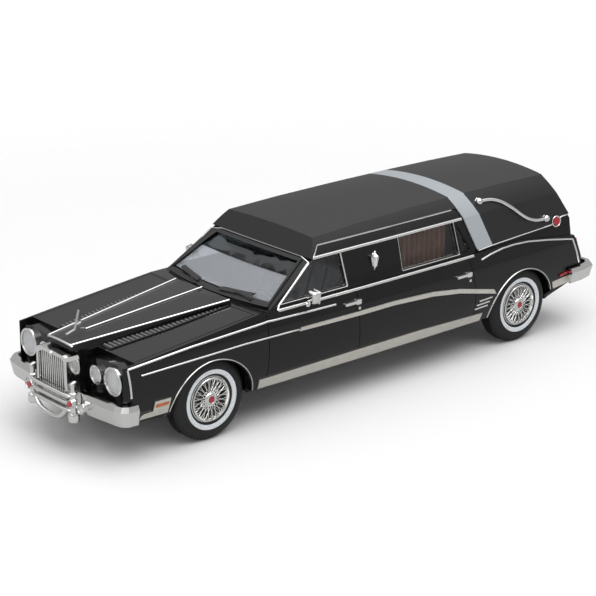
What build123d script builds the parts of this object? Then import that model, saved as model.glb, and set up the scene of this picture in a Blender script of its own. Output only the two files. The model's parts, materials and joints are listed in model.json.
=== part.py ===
"""Scale model of a hearse, about 1:43, in millimetres.

+X is forward, +Y is the car's left and +Z is up. The origin is on the ground, in the
middle of the overall length and width. Sections of the body are given for its left
half, as (y, z) points, and profiles along it as (x, z) points.
"""
import os
from math import asin, cos, degrees, sin

from build123d import *

os.makedirs("parts", exist_ok=True)

# Wheels and axles
wheelbase = 88.9
front_axle_x = 43.5
rear_axle_x = front_axle_x - wheelbase
tyre_r = 8.8
tyre_w = 5.2
tyre_face_y = 18.5
bead_r = 4.9
white_in_r = 5.15
white_out_r = 6.4
white_depth = 0.25
rim_in_r = 4.1
dish_depth = 1.3
hub_r = 1.4
emblem_r = 0.65
spoke_count = 20
spoke_w = 0.22
axle_r = 0.9
axle_clearance = 0.05
slot_clearance = 0.4

# Lower body
bow_radius = 1870.0
wall = 1.3
bulge_y = 19.9
bulge_z = 15.5
sill_y = 18.5
sill_z = 8.0
belt_y = 18.4
belt_z = 23.9
nose_x = 65.0
fender_z = 20.5
cowl_x = 31.0
hip_z = 24.0
tail_z = 21.7
tail_x = -65.9
arch_r = 10.3
arch_z = 6.9
housing_r = 9.6
housing_in_y = 11.9
housing_wall = 0.8

# Cabin
cabin_low_y = 17.7
shoulder_y = 16.0
shoulder_z = 32.0
edge_y = 12.2
edge_z = 36.1
crown_z = 37.1
screen_low_x = 29.8
screen_low_bow = 4.6
header_x = 15.3
header_z = 31.7
roof_front_x = 12.6
roof_front_z = 35.3
front_bow = 0.3
roof_rear_x = -58.0
back_low_x = -65.1
back_axis_x = 10.0
glass_t = 0.6
glass_inset = 0.35
seam = 0.02

# Heights of the roof along the car: x, at its edges (edge_y) and in the middle
roof_levels = (
    (-72.0, 35.1, 36.1),
    (-58.0, 35.7, 36.7),
    (-45.0, 36.0, 37.0),
    (-32.0, edge_z, crown_z),
    (-16.0, 36.05, 36.95),
    (0.0, 35.75, 36.3),
    (12.6, 35.15, 35.4),
    (30.0, 34.1, 34.3),
)

# Vinyl roof and the band across it
vinyl_t = 0.35
vinyl_low_z = 34.15
band_w = 4.9
band_top_x = -27.2
band_low_x = -32.0

# Trim that lies on the body
trim_t = 0.35
strip_w = 0.45
groove_w = 0.16
groove_depth = 0.15
rear_door_w = 23.0
rear_door_h = 9.6

# Underside
plate_z = 7.2
plate_t = 1.2
bay_in_y = 12.3
axle_block_x = 5.0
axle_block_top = 11.2
screw_r = 1.25
screw_depth = 5.0
boss_r = 2.6
screw_x = 20.0

# Bumpers and front end
bumper_y = 20.5
bumper_low_z = 9.0
bumper_top_z = 13.2
guard_y = 7.1
guard_x = 68.4
bar_r = 0.38
bar_z = (9.2, 10.7, 12.2)
guard_r = 0.6
guard_top_z = 15.0
grille_half_y = 5.3
grille_low_z = 8.8
grille_top_z = 20.4
grille_back_x = 66.02
grille_front_x = 69.1
shell_t = 0.75
grille_bars = 14
lamp_panel_x = 64.0
lamp_seat_x = 63.2
brow_x = 61.6
blade_y = 17.9
head_y = 14.7
head_z = 16.9
head_r = 2.95
low_beam_y = 8.9
low_beam_z = 16.7
low_beam_r = 1.95


def bowed_solid(line_low, arc, line_top, low_z, high_z):
    """Solid whose bowed sides follow a line, an arc and a line from low_z to high_z."""
    reach = bow_radius - bulge_y
    half_turn = asin(85.0 / bow_radius)
    start = (sin(half_turn), cos(half_turn), 0)
    plane = Plane(origin=(0, -reach, 0), x_dir=start, z_dir=(cos(half_turn), -sin(half_turn), 0))
    inner = reach - 30.0
    out = [(reach + y, z) for y, z in line_low + arc + line_top]
    with BuildPart() as solid:
        with BuildSketch(plane):
            with BuildLine():
                Polyline((inner, low_z), out[0], out[1])
                ThreePointArc(out[1], out[2], out[3])
                Polyline(out[3], out[4], (inner, high_z), (inner, low_z))
            make_face()
        turn = 2 * degrees(half_turn)
        revolve(axis=Axis((0, -reach, 0), (0, 0, 1)), revolution_arc=turn)
        mirror(about=Plane.XZ, mode=Mode.INTERSECT)
    return solid.part


def prism(points, grow=0.0, half_width=30.0):
    """Solid with the given (x, z) outline moved out by grow, wide on both sides."""
    with BuildPart() as block:
        with BuildSketch(Plane.XZ):
            with BuildLine():
                Polyline(*points, close=True)
            make_face()
            if grow:
                offset(amount=grow, kind=Kind.INTERSECTION)
        extrude(amount=half_width, both=True)
    return block.part


def plan_block(length_front, length_rear, half_y, corner_r):
    """Upright block with rounded corners, from length_rear to length_front along X."""
    middle = (length_front + length_rear) / 2
    with BuildPart() as block:
        with BuildSketch(Plane.XY.offset(-5)):
            with Locations((middle, 0)):
                RectangleRounded(length_front - length_rear, 2 * half_y, corner_r)
        extrude(amount=60)
    return block.part


def lower_sides(grow=0.0):
    """Bowed sides of the fenders and doors, moved out by grow."""
    return bowed_solid(
        [(sill_y - 0.4 + grow, sill_z - 12)],
        [(sill_y + grow, sill_z), (bulge_y + grow, bulge_z), (belt_y + grow, belt_z)],
        [(belt_y - 0.8 + grow, belt_z + 8)],
        sill_z - 12,
        belt_z + 8,
    )


def lower_form(grow=0.0, open_below=False):
    """Outer form of hood, fenders, doors and tail, moved out by grow.

    With open_below it goes straight down to below the ground, which suits a cavity.
    """
    top = [
        (nose_x + grow, fender_z + grow),
        (cowl_x, belt_z + grow),
        (rear_axle_x + 16, belt_z + grow),
        (rear_axle_x, hip_z + grow),
        (tail_x + 2.6 - grow, tail_z + grow),
    ]
    back = [(tail_x + 0.4 - grow, bulge_z), (tail_x - grow, 12.0)]
    bottom = [
        (tail_x + 3 - grow, 11.0 - grow),
        (rear_axle_x - 9, 10.3 - grow),
        (rear_axle_x + 9, sill_z - grow),
        (front_axle_x + 8, sill_z - grow),
        (nose_x - 1.5 + grow, sill_z + 1.0 - grow),
    ]
    if open_below:
        bottom = [(tail_x - grow, sill_z - 12), (nose_x + grow, sill_z - 12)]
    chin = [(nose_x + grow, sill_z + 5)]
    with BuildPart() as form:
        add(lower_sides(grow))
        add(prism(top + back + bottom + chin), mode=Mode.INTERSECT)
        add(plan_block(nose_x + grow, tail_x - grow, 20.0 + grow, 3.4), mode=Mode.INTERSECT)
    return form.part


def round_block(axis_x, line):
    """Solid of revolution about an upright axis at axis_x, with (radius, z) points."""
    with BuildPart() as block:
        with BuildSketch(Plane.XZ):
            with BuildLine():
                shifted = [(axis_x + r, z) for r, z in line]
                Polyline((axis_x, line[0][1]), *shifted, (axis_x, line[-1][1]), close=True)
            make_face()
        revolve(axis=Axis((axis_x, 0, 0), (0, 0, 1)))
    return block.part


def front_block(grow, low_z):
    """Solid behind the windscreen and the header over it, ruled between three levels."""
    rise = header_z - belt_z
    slope = (screen_low_x - header_x) / rise
    bow_slope = (screen_low_bow - front_bow) / rise
    down = belt_z - low_z
    top_z = crown_z + 2
    header_slope = (header_x - roof_front_x) / (roof_front_z - header_z)
    levels = [
        (low_z, screen_low_x + slope * down + 2.0 * grow, screen_low_bow + bow_slope * down),
        (header_z, header_x + 1.6 * grow, front_bow),
        (top_z, header_x - header_slope * (top_z - header_z) + 1.25 * grow, front_bow),
    ]
    with BuildPart() as block:
        for z, middle_x, bow in levels:
            with BuildSketch(Plane.XY.offset(z)):
                with BuildLine():
                    corner_x = middle_x - bow
                    ThreePointArc((corner_x, -24), (middle_x, 0), (corner_x, 24))
                    Polyline((corner_x, 24), (-90, 24), (-90, -24), (corner_x, -24))
                make_face()
        loft(ruled=True)
    return block.part


def roof_block(grow):
    """Solid under the roof, ruled between crowned sections along the car."""
    half = edge_y * 2
    with BuildPart() as block:
        for x, side_z, top_z in roof_levels:
            drop = (half / edge_y) ** 2 * (top_z - side_z)
            with BuildSketch(Plane.YZ.offset(x)):
                with BuildLine():
                    low_side = top_z - drop + grow
                    ThreePointArc((-half, low_side), (0, top_z + grow), (half, low_side))
                    Polyline((half, low_side), (half, 0), (-half, 0), (-half, low_side))
                make_face()
        loft(ruled=True)
    return block.part


def cabin_form(grow=0.0, low_z=16.0):
    """Outer form of the glass area and roof, moved out by grow."""
    lean = (cabin_low_y - shoulder_y) / (shoulder_z - belt_z)
    low_y = cabin_low_y + lean * (belt_z - low_z)
    sides = bowed_solid(
        [(low_y + grow, low_z)],
        [
            (shoulder_y + grow, shoulder_z),
            (14.45 + 0.8 * grow, 34.2 + 0.6 * grow),
            (edge_y + 0.1 + 0.6 * grow, edge_z + 0.3 + grow),
        ],
        [(edge_y - 4 + grow, crown_z + 3)],
        low_z,
        crown_z + 3,
    )
    back = [
        (back_axis_x - back_low_x + grow, low_z),
        (back_axis_x - back_low_x + grow, belt_z + 1.6),
        (back_axis_x - roof_rear_x + grow * 1.2, edge_z + 0.2),
        (back_axis_x - roof_rear_x - 3 + grow * 1.2, crown_z + 2),
    ]
    with BuildPart() as form:
        add(sides)
        add(front_block(grow, low_z), mode=Mode.INTERSECT)
        add(round_block(back_axis_x, back), mode=Mode.INTERSECT)
        add(roof_block(grow), mode=Mode.INTERSECT)
    return form.part


def save(name, shape):
    """Label a finished piece and write its STEP file."""
    shape.label = name
    export_step(shape, f"parts/{name}.step")


def between(outer, inner):
    """What lies inside the outer form and outside the inner one."""
    with BuildPart() as skin:
        add(outer)
        add(inner, mode=Mode.SUBTRACT)
    return skin.part


def lying_on(skin, *outlines, grow=0.0):
    """The parts of a thin skin inside some (x, z) outlines, on both sides of the car."""
    with BuildPart() as prisms:
        for points in outlines:
            add(prism(points, grow))
    with BuildPart() as piece:
        add(skin)
        add(prisms.part, mode=Mode.INTERSECT)
    return piece.part


def side_prism(outline):
    """Solid with the given sketch in the XZ plane, wide on both sides."""
    with BuildPart() as block:
        extrude(outline.sketch, amount=30, both=True)
    return block.part


def strip(line, width):
    """Closed (x, z) outline of a strip of even height along a line."""
    half = width / 2
    upper = [(x, z + half) for x, z in line]
    lower = [(x, z - half) for x, z in reversed(line)]
    return upper + lower


def upright(line, width):
    """Closed (x, z) outline of an upright strip of even width along a line."""
    half = width / 2
    front = [(x + half, z) for x, z in line]
    rear = [(x - half, z) for x, z in reversed(line)]
    return front + rear


def plan_prism(*outlines):
    """Tall solid with the given (x, y) outlines, on both sides of the car."""
    with BuildPart() as block:
        with BuildSketch(Plane.XY):
            for points in outlines:
                with BuildLine():
                    Polyline(*points, close=True)
                make_face()
            mirror(about=Plane.XZ)
        extrude(amount=40)
    return block.part


def rod(start, end, width, height):
    """Straight bar of rectangular section between two points."""
    plane = Plane(origin=start, x_dir=(0, 1, 0), z_dir=Vector(*end) - Vector(*start))
    with BuildPart() as bar:
        with BuildSketch(plane):
            Rectangle(width, height)
        extrude(amount=(Vector(*end) - Vector(*start)).length)
    return bar.part


def across(half_outline, shrink=0.0):
    """Full (y, z) outline of a four-sided opening from its left corners, low and top."""
    (low_y, low_z), (top_y, top_z) = half_outline
    left, right = low_y - shrink, top_y - shrink
    low, top = low_z + shrink, top_z - shrink
    return [(-left, low), (left, low), (right, top), (-right, top)]


# Outlines along the car
medallion_at = (-58.3, 25.9)
medallion_r = 1.1
side_windows = {
    "front": [(24.3, 24.6), (15.2, 31.4), (7.6, 31.6), (6.8, 24.6)],
    "rear": [(-9.4, 31.6), (-9.6, 24.6), (-26.4, 24.6), (-25.5, 31.6)],
    "quarter": [(-26.6, 31.4), (-27.5, 24.6), (-30.2, 24.6)],
}
screen_half = ((16.2, 24.75), (13.5, 31.15))
screen_back_x = 13.2
rear_window_half = ((12.0, 27.4), (10.8, 33.8))

# Forms that several pieces share
lower_outer = lower_form()
cabin_outer = cabin_form()
side_skin = between(lower_sides(trim_t), lower_sides(seam))
cabin_skin = between(cabin_form(vinyl_t), cabin_form(seam))

# Body shell: one hollow casting with its wheel housings, windows and lamp seats
with BuildPart() as wheel_blocks:
    with BuildSketch(Plane.XY.offset(-1)):
        for end_x in (front_axle_x, rear_axle_x):
            for side in (1, -1):
                with Locations((end_x, side * (housing_in_y - housing_wall + 25) / 2)):
                    Rectangle(2 * (housing_r + housing_wall), 25 - housing_in_y + housing_wall)
    extrude(amount=tyre_r + housing_r + housing_wall + 1)

with BuildPart() as wheel_bays:
    for end_x in (front_axle_x, rear_axle_x):
        for side in (1, -1):
            middle_y = side * (housing_in_y + tyre_face_y + 0.3) / 2
            with BuildSketch(Plane.XZ.offset(-middle_y)):
                with Locations((end_x, tyre_r)):
                    Circle(housing_r)
                with Locations((end_x, 0)):
                    Rectangle(2 * housing_r, 2 * tyre_r)
            extrude(amount=(tyre_face_y + 0.3 - housing_in_y) / 2, both=True)

with BuildPart() as axle_slots:
    for end_x in (front_axle_x, rear_axle_x):
        with BuildSketch(Plane.XZ):
            with Locations((end_x, tyre_r)):
                Circle(axle_r + slot_clearance)
            with Locations((end_x, tyre_r / 2)):
                Rectangle(2 * (axle_r + slot_clearance), tyre_r)
        extrude(amount=housing_in_y + 0.5, both=True)

with BuildPart() as arch_cuts:
    for end_x in (front_axle_x, rear_axle_x):
        for side in (1, -1):
            with BuildSketch(Plane.XZ.offset(-side * 20.5)):
                with Locations((end_x, arch_z)):
                    Circle(arch_r)
            extrude(amount=3.2, both=True)

grille_seat_z = bumper_top_z - 0.9
with BuildPart() as hood:
    with BuildSketch(Plane.YZ.offset(nose_x + 2.0)):
        with BuildLine():
            Polyline((-4.5, 20.9), (-3.9, 21.9), (0, 22.2), (3.9, 21.9), (4.5, 20.9), close=True)
        make_face()
    with BuildSketch(Plane.YZ.offset(cowl_x)):
        with BuildLine():
            Polyline((-9.8, 19.0), (-9.1, 24.6), (0, 25.1), (9.1, 24.6), (9.8, 19.0), close=True)
        make_face()
    loft(ruled=True)
    with BuildSketch(Plane.XY.offset(grille_seat_z)):
        with Locations((grille_back_x - seam - 2.5, 0)):
            Rectangle(5.0, 2 * grille_half_y - 1.0)
    extrude(amount=21.0 - grille_seat_z)

with BuildPart() as hood_cavity:
    with BuildSketch(Plane.YZ.offset(nose_x - 3)):
        with BuildLine():
            Polyline((-3.2, 16), (-2.8, 20.5), (2.8, 20.5), (3.2, 16), close=True)
        make_face()
    with BuildSketch(Plane.YZ.offset(cowl_x + 2)):
        with BuildLine():
            Polyline((-8.6, 18.0), (-8.0, 23.3), (8.0, 23.3), (8.6, 18.0), close=True)
        make_face()
    loft(ruled=True)

lamp_places = ((head_y, head_z, head_r), (low_beam_y, low_beam_z, low_beam_r))
with BuildPart() as lamp_seats:
    with BuildSketch(Plane.YZ.offset(lamp_seat_x)):
        for y, z, r in lamp_places:
            with Locations((y, z), (-y, z)):
                Circle(r)
    extrude(amount=5)
    with BuildSketch(Plane.YZ.offset(lamp_panel_x)):
        for side in (1, -1):
            with Locations((side * (blade_y + grille_half_y) / 2, 18)):
                Rectangle(blade_y - grille_half_y, 14)
    extrude(amount=5)

# Rounded brows over the lamps: what lies above them is cut away
brow_line = [(5.4, 18.4), (6.3, 19.4), (8.9, 19.9), (12.0, 20.2), (14.7, 20.35), (16.6, 19.9), (17.9, 18.6)]
with BuildPart() as brow_cuts:
    with BuildSketch(Plane.YZ.offset(brow_x)):
        with BuildLine():
            Polyline(*brow_line, (blade_y, 22.0), (5.4, 22.0), close=True)
        make_face()
        mirror(about=Plane.YZ)
    extrude(amount=6)

with BuildPart() as middle_block:
    with BuildSketch(Plane.XY):
        Rectangle(200, 2 * (edge_y + 0.8))
    extrude(amount=60)

with BuildPart() as openings:
    for outline in side_windows.values():
        add(prism(outline))
    add(middle_block.part, mode=Mode.SUBTRACT)
    with BuildSketch(Plane.YZ.offset(8)):
        with BuildLine():
            Polyline(*across(screen_half), close=True)
        make_face()
    extrude(amount=25)
    with BuildSketch(Plane.YZ.offset(-50)):
        with BuildLine():
            Polyline(*across(rear_window_half), close=True)
        make_face()
    extrude(amount=-25)

nose_block = [(nose_x - 2.3, -9), (nose_x - 2.3, 9.5), (nose_x - 5, 9.5), (nose_x - 5, 40)]
nose_block += [(80, 40), (80, -9)]
roof_zone = [(80, belt_z - 2), (80, 50), (-80, 50), (-80, belt_z - 2)]
with BuildPart() as cavity:
    add(cabin_form(-wall, 20.0))
    add(prism(roof_zone), mode=Mode.INTERSECT)
    add(lower_form(-wall, open_below=True))
    add(hood_cavity.part)
    add(prism(nose_block), mode=Mode.SUBTRACT)
    add(wheel_blocks.part, mode=Mode.SUBTRACT)

# Shut lines of the doors, the hood and the rear door, engraved
door_lines = (
    upright([(29.2, 23.4), (29.7, 10.4)], groove_w),
    upright([(4.9, 23.7), (5.0, 18.4), (4.7, 8.4)], groove_w),
    upright([(-28.7, 23.4), (-29.0, 20.8), (-29.8, 15.7), (-30.0, 8.9)], groove_w),
)
hood_lines = (
    [(brow_x - 0.4, 17.5), (brow_x - 0.4, 17.3), (31.6, 17.3), (31.6, 17.5)],
    [(31.7, 17.5), (31.5, 17.5), (31.8, 9.9), (32.0, 9.9)],
)
with BuildPart() as hood_grooves:
    add(between(lower_form(groove_depth), lower_form(-groove_depth)))
    add(plan_prism(*hood_lines), mode=Mode.INTERSECT)
    add(prism([(28, 19), (70, 19), (70, 40), (28, 40)]), mode=Mode.INTERSECT)
with BuildPart() as rear_grooves:
    add(between(lower_form(groove_depth), lower_form(-groove_depth)))
    with BuildSketch(Plane.YZ.offset(tail_x + 6)):
        with Locations((0, 16.6)):
            Rectangle(rear_door_w, rear_door_h)
            Rectangle(rear_door_w - 2 * groove_w, rear_door_h - 2 * groove_w, mode=Mode.SUBTRACT)
    extrude(amount=-8, mode=Mode.INTERSECT)
with BuildPart() as shut_lines:
    add(lying_on(between(lower_sides(groove_depth), lower_sides(-groove_depth)), *door_lines))
    add(hood_grooves.part)
    add(rear_grooves.part)

with BuildPart() as body_shell:
    add(lower_outer)
    add(cabin_outer)
    add(hood.part)
    add(cavity.part, mode=Mode.SUBTRACT)
    add(wheel_bays.part, mode=Mode.SUBTRACT)
    add(axle_slots.part, mode=Mode.SUBTRACT)
    add(arch_cuts.part, mode=Mode.SUBTRACT)
    add(openings.part, mode=Mode.SUBTRACT)
    add(lamp_seats.part, mode=Mode.SUBTRACT)
    add(brow_cuts.part, mode=Mode.SUBTRACT)
    add(shut_lines.part, mode=Mode.SUBTRACT)
save("body_shell", body_shell.part)


# Base plate with its axle blocks and the two screw bosses
with BuildPart() as base_plate:
    add(lower_sides(-wall - 0.1))
    plate_zone = [(front_axle_x + arch_r, plate_z), (nose_x - 2.4, plate_z + 0.9)]
    plate_zone += [(nose_x - 2.4, plate_z + 2.0), (front_axle_x + arch_r, plate_z + plate_t)]
    plate_zone += [(rear_axle_x - arch_r, plate_z + plate_t), (tail_x + 2.4, plate_z + 3.6)]
    plate_zone += [(tail_x + 2.4, plate_z + 2.6), (rear_axle_x - arch_r, plate_z)]
    add(prism(plate_zone), mode=Mode.INTERSECT)
    add(plan_block(nose_x - 1.5, tail_x + 1.5, 20.0, 2.6), mode=Mode.INTERSECT)
    with BuildSketch(Plane.XY.offset(plate_z + plate_t)):
        for end_x in (front_axle_x, rear_axle_x):
            with Locations((end_x, 0)):
                Rectangle(axle_block_x, 2 * (bay_in_y - 1.6))
    extrude(amount=axle_block_top - plate_z - plate_t)
    with BuildSketch(Plane.XY.offset(plate_z + plate_t)):
        with Locations((screw_x, 0), (-screw_x, 0)):
            Circle(boss_r)
    extrude(amount=screw_depth + 1.0 - plate_t)
    with BuildSketch(Plane.XY.offset(plate_z)):
        with Locations((screw_x, 0), (-screw_x, 0)):
            Circle(screw_r)
    extrude(amount=screw_depth, mode=Mode.SUBTRACT)
    with BuildSketch(Plane.XY.offset(plate_z)):
        for end_x in (front_axle_x, rear_axle_x):
            for side in (1, -1):
                with Locations((end_x, side * (bay_in_y - 1.3 + 25) / 2)):
                    Rectangle(2 * (housing_r + housing_wall + 0.1), 25 - bay_in_y + 1.3)
    extrude(amount=plate_t, mode=Mode.SUBTRACT)
    for end_x in (front_axle_x, rear_axle_x):
        with BuildSketch(Plane.XZ):
            with Locations((end_x, tyre_r)):
                Circle(axle_r + axle_clearance)
        extrude(amount=20, both=True, mode=Mode.SUBTRACT)
save("base_plate", base_plate.part)

# Wheels, one set for each end of an axle
dish_y = tyre_face_y - 0.35 - dish_depth
tyre_in_y = tyre_face_y - tyre_w


def turned(profile, axle_x, side):
    """Solid of revolution about an axle, from (radius, y) points given for the left."""
    plane = Plane(origin=(axle_x, 0, tyre_r), x_dir=(1, 0, 0), z_dir=(0, 0, 1))
    with BuildPart() as piece:
        with BuildSketch(plane):
            with BuildLine():
                Polyline(*[(r, side * y) for r, y in profile], close=True)
            make_face()
        revolve(axis=Axis((axle_x, 0, tyre_r), (0, 1, 0)))
    return piece.part


tyre_profile = [
    (bead_r, tyre_in_y + 0.5),
    (6.4, tyre_in_y),
    (7.9, tyre_in_y + 0.4),
    (tyre_r, tyre_in_y + 1.3),
    (tyre_r, tyre_face_y - 1.3),
    (7.9, tyre_face_y - 0.4),
    (white_out_r, tyre_face_y),
    (white_out_r, tyre_face_y - white_depth),
    (white_in_r, tyre_face_y - white_depth - 0.1),
    (bead_r, tyre_face_y - 0.5),
]
white_profile = [
    (white_in_r, tyre_face_y - white_depth - 0.08),
    (white_out_r - seam, tyre_face_y - white_depth + seam),
    (white_out_r - seam, tyre_face_y + 0.05),
    (white_in_r, tyre_face_y - 0.1),
]
rim_profile = [
    (axle_r, tyre_in_y + 1.0),
    (bead_r - seam, tyre_in_y + 1.0),
    (bead_r - seam, tyre_face_y - 0.35),
    (bead_r - 0.2, tyre_face_y - 0.1),
    (rim_in_r + 0.1, tyre_face_y - 0.1),
    (rim_in_r - 0.2, dish_y + 0.1),
    (hub_r, dish_y),
    (hub_r, tyre_face_y - 0.2),
    (emblem_r + 0.1, tyre_face_y),
    (emblem_r + 0.1, tyre_face_y - 0.25),
    (0, tyre_face_y - 0.25),
    (0, tyre_face_y - 0.8),
    (axle_r, tyre_face_y - 0.8),
]
emblem_profile = [
    (0, tyre_face_y - 0.25 + seam),
    (emblem_r, tyre_face_y - 0.25 + seam),
    (emblem_r, tyre_face_y + 0.05),
    (emblem_r * 0.5, tyre_face_y + 0.15),
    (0, tyre_face_y + 0.18),
]
wheel_places = (("front", front_axle_x), ("rear", rear_axle_x))
for end, axle_x in wheel_places:
    for hand, side in (("left", 1), ("right", -1)):
        save(f"tyre_{end}_{hand}", turned(tyre_profile, axle_x, side))
        save(f"whitewall_{end}_{hand}", turned(white_profile, axle_x, side))
        save(f"hub_emblem_{end}_{hand}", turned(emblem_profile, axle_x, side))
        with BuildPart() as wheel:
            add(turned(rim_profile, axle_x, side))
            face = Plane(
                origin=(axle_x, side * (tyre_face_y - 0.3), tyre_r),
                x_dir=(1, 0, 0),
                z_dir=(0, side, 0),
            )
            with BuildSketch(face):
                with PolarLocations((hub_r + rim_in_r) / 2, spoke_count):
                    Rectangle(rim_in_r - hub_r + 0.2, spoke_w)
            extrude(amount=-dish_depth * 0.5)
        save(f"wheel_{end}_{hand}", wheel.part)
    with BuildPart() as axle:
        with BuildSketch(Plane.XZ):
            with Locations((axle_x, tyre_r)):
                Circle(axle_r)
        extrude(amount=tyre_face_y - 0.8, both=True)
    save(f"axle_{end}", axle.part)


# Glass, set into the window openings
def ends_prism(half_outline, start_x, reach, grow=0.0):
    """Solid behind a four-sided (y, z) opening, from start_x along X."""
    with BuildPart() as block:
        with BuildSketch(Plane.YZ.offset(start_x)):
            with BuildLine():
                Polyline(*across(half_outline, -grow), close=True)
            make_face()
        extrude(amount=reach)
    return block.part


glass_skin = between(cabin_form(-glass_inset), cabin_form(-glass_inset - glass_t))
with BuildPart() as side_glass:
    add(lying_on(glass_skin, *side_windows.values(), grow=-seam))
    add(middle_block.part, mode=Mode.SUBTRACT)
    add(ends_prism(screen_half, screen_back_x, 20), mode=Mode.SUBTRACT)
save("side_glass", side_glass.part)
for name, half, start_x, reach in (
    ("windscreen", screen_half, screen_back_x + seam, 20),
    ("rear_glass", rear_window_half, -50, -25),
):
    with BuildPart() as pane:
        add(glass_skin)
        add(ends_prism(half, start_x, reach, -seam), mode=Mode.INTERSECT)
    save(name, pane.part)

# Vinyl roof, and the band that crosses it
band_front = [(band_top_x, crown_z + 5), (band_top_x, edge_z), (band_low_x, belt_z + 0.6)]
band_back = [(x - band_w, z) for x, z in reversed(band_front)]
band_zone = band_front + band_back
header_low = [(80, header_z + 0.25), (header_x - 0.3, header_z + 0.25), (12.6, vinyl_low_z)]
vinyl_front = [(band_top_x - 2, 50), (80, 50), *header_low, (band_top_x - 2, vinyl_low_z)]
base_line = [(-32.2, 24.15), (-36.9, 24.45), (-47.0, 24.8), (-57.3, 25.1), (-60.2, 26.3), (-80, 26.6)]
base_zone = strip(base_line, strip_w)
vinyl_back = [(band_top_x - 2, 50), (band_low_x, belt_z), *base_line[1:], (-80, 50)]
with BuildPart() as vinyl_roof:
    add(lying_on(cabin_skin, vinyl_front, vinyl_back))
    add(prism(band_zone, grow=seam), mode=Mode.SUBTRACT)
    add(prism(base_zone, grow=seam), mode=Mode.SUBTRACT)
    add(ends_prism(rear_window_half, -50, -25, 0.4), mode=Mode.SUBTRACT)
save("vinyl_roof", vinyl_roof.part)
with BuildPart() as roof_band:
    add(lying_on(cabin_skin, band_zone))
    add(prism(base_zone, grow=seam), mode=Mode.SUBTRACT)
save("roof_band", roof_band.part)

# Bright trim on the sides
upper_strip = [(nose_x - 1.1, 20.2), (49.0, 21.3), (29.2, 22.1), (11.2, 21.8)]
lower_strip = [(nose_x - 4.0, 18.4), (49.1, 18.7), (35.6, 19.0), (21.6, 18.9)]
rear_strip = [(-32.1, 22.3), (-35.4, 22.95), (-39.2, 23.4), (-43.0, 23.5), (-47.8, 23.25)]
rear_strip += [(-55.0, 22.25), (-62.6, 20.9)]
nose_drop = [(nose_x - 1.4, 20.2), (nose_x - 1.0, 20.2), (nose_x - 1.4, 14.4), (nose_x - 1.8, 14.4)]
slash_places = ((-31.0, 13.25), (-30.3, 12.4), (-29.8, 11.55))
tail_drop = [(-62.2, 21.0), (-62.7, 21.0), (-64.6, 15.1), (-64.2, 15.1)]
fender_strips = lying_on(side_skin, strip(upper_strip, strip_w), strip(lower_strip, strip_w), nose_drop)
save("fender_strips", fender_strips)
slashes = [strip([(low_x, z - 0.15), (low_x - 4.1, z)], 0.35) for low_x, z in slash_places]
save("rear_strips", lying_on(side_skin, strip(rear_strip, strip_w), tail_drop, *slashes))
sweep_top = [(21.1, 19.3), (4.8, 19.2), (-5.0, 19.2), (-16.3, 18.7), (-24.4, 17.6), (-35.4, 15.1)]
sweep_low = [(-36.2, 13.9), (-24.4, 16.6), (-16.3, 17.7), (-5.0, 18.3), (4.8, 18.3), (21.6, 18.6)]
save("sweep_mouldings", lying_on(side_skin, sweep_top + sweep_low))
sill_low_z = sill_z + 0.15
rocker = [(31.8, 10.3), (4.7, 10.6), (-13.1, 10.6), (-32.6, 10.0), (-32.2, sill_low_z), (31.8, sill_low_z)]
save("rocker_panels", lying_on(side_skin, rocker))
marker_plate = [(54.1, 12.3), (57.9, 12.3), (58.2, 10.2), (60.3, 10.2), (61.0, 9.8), (61.3, 9.0), (54.5, 9.0)]
amber_zone = [(54.5, 11.6), (57.6, 11.6), (57.7, 10.9), (54.6, 10.9)]
tail_trim = [(-55.2, 12.3), (-63.2, 13.0), (-63.2, 11.1), (-56.0, 10.4)]
red_zone = [(-57.8, 13.0), (-61.4, 13.3), (-61.4, 13.8), (-57.8, 13.5)]
with BuildPart() as marker_plates:
    add(lying_on(side_skin, marker_plate, tail_trim))
    add(prism(amber_zone, grow=seam), mode=Mode.SUBTRACT)
    add(prism(red_zone, grow=seam), mode=Mode.SUBTRACT)
    with BuildSketch(Plane.YZ.offset(-68.04)):
        with Locations((0, 12.9)):
            RectangleRounded(7.4, 3.2, 0.3)
    extrude(amount=-0.5)
save("marker_plates", marker_plates.part)
save("side_markers", lying_on(side_skin, amber_zone))
belt_strip = [(25.8, 23.5), (-30.0, 23.5)]
with BuildPart() as belt_strips:
    add(lying_on(side_skin, strip(belt_strip, strip_w)))
    add(lying_on(cabin_skin, base_zone))
    with BuildSketch(Plane.XZ):
        with Locations(medallion_at):
            Circle(medallion_r + seam)
    extrude(amount=30, both=True, mode=Mode.SUBTRACT)
save("belt_strips", belt_strips.part)
drip_z = vinyl_low_z - strip_w / 2 - seam
drip_strip = [(12.6, drip_z), (-26.6, drip_z)]
pillar_strip = [(12.3, drip_z + 0.2), (12.9, drip_z + 0.2), (15.4, header_z + 0.1), (14.8, header_z + 0.1)]
header_strip = strip([(16.6, header_z), (14.2, header_z)], 0.36)
with BuildPart() as drip_strips:
    add(lying_on(cabin_skin, header_strip))
    with BuildSketch(Plane.XY):
        Rectangle(200, 28.2)
    extrude(amount=60, mode=Mode.INTERSECT)
    add(lying_on(cabin_skin, strip(drip_strip, strip_w), pillar_strip))
    add(prism(vinyl_front), mode=Mode.SUBTRACT)
save("drip_strips", drip_strips.part)
top_strip = [(15.0, 31.95), (-28.6, 31.95)]
with BuildPart() as window_frames:
    add(lying_on(cabin_skin, side_windows["front"], side_windows["rear"], grow=strip_w))
    add(lying_on(cabin_skin, strip(top_strip, strip_w)))
    add(prism(band_zone, grow=seam), mode=Mode.SUBTRACT)
    add(prism(pillar_strip, grow=seam), mode=Mode.SUBTRACT)
    add(prism(header_strip, grow=seam), mode=Mode.SUBTRACT)
    add(middle_block.part, mode=Mode.SUBTRACT)
    for outline in side_windows.values():
        add(prism(outline), mode=Mode.SUBTRACT)
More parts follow.
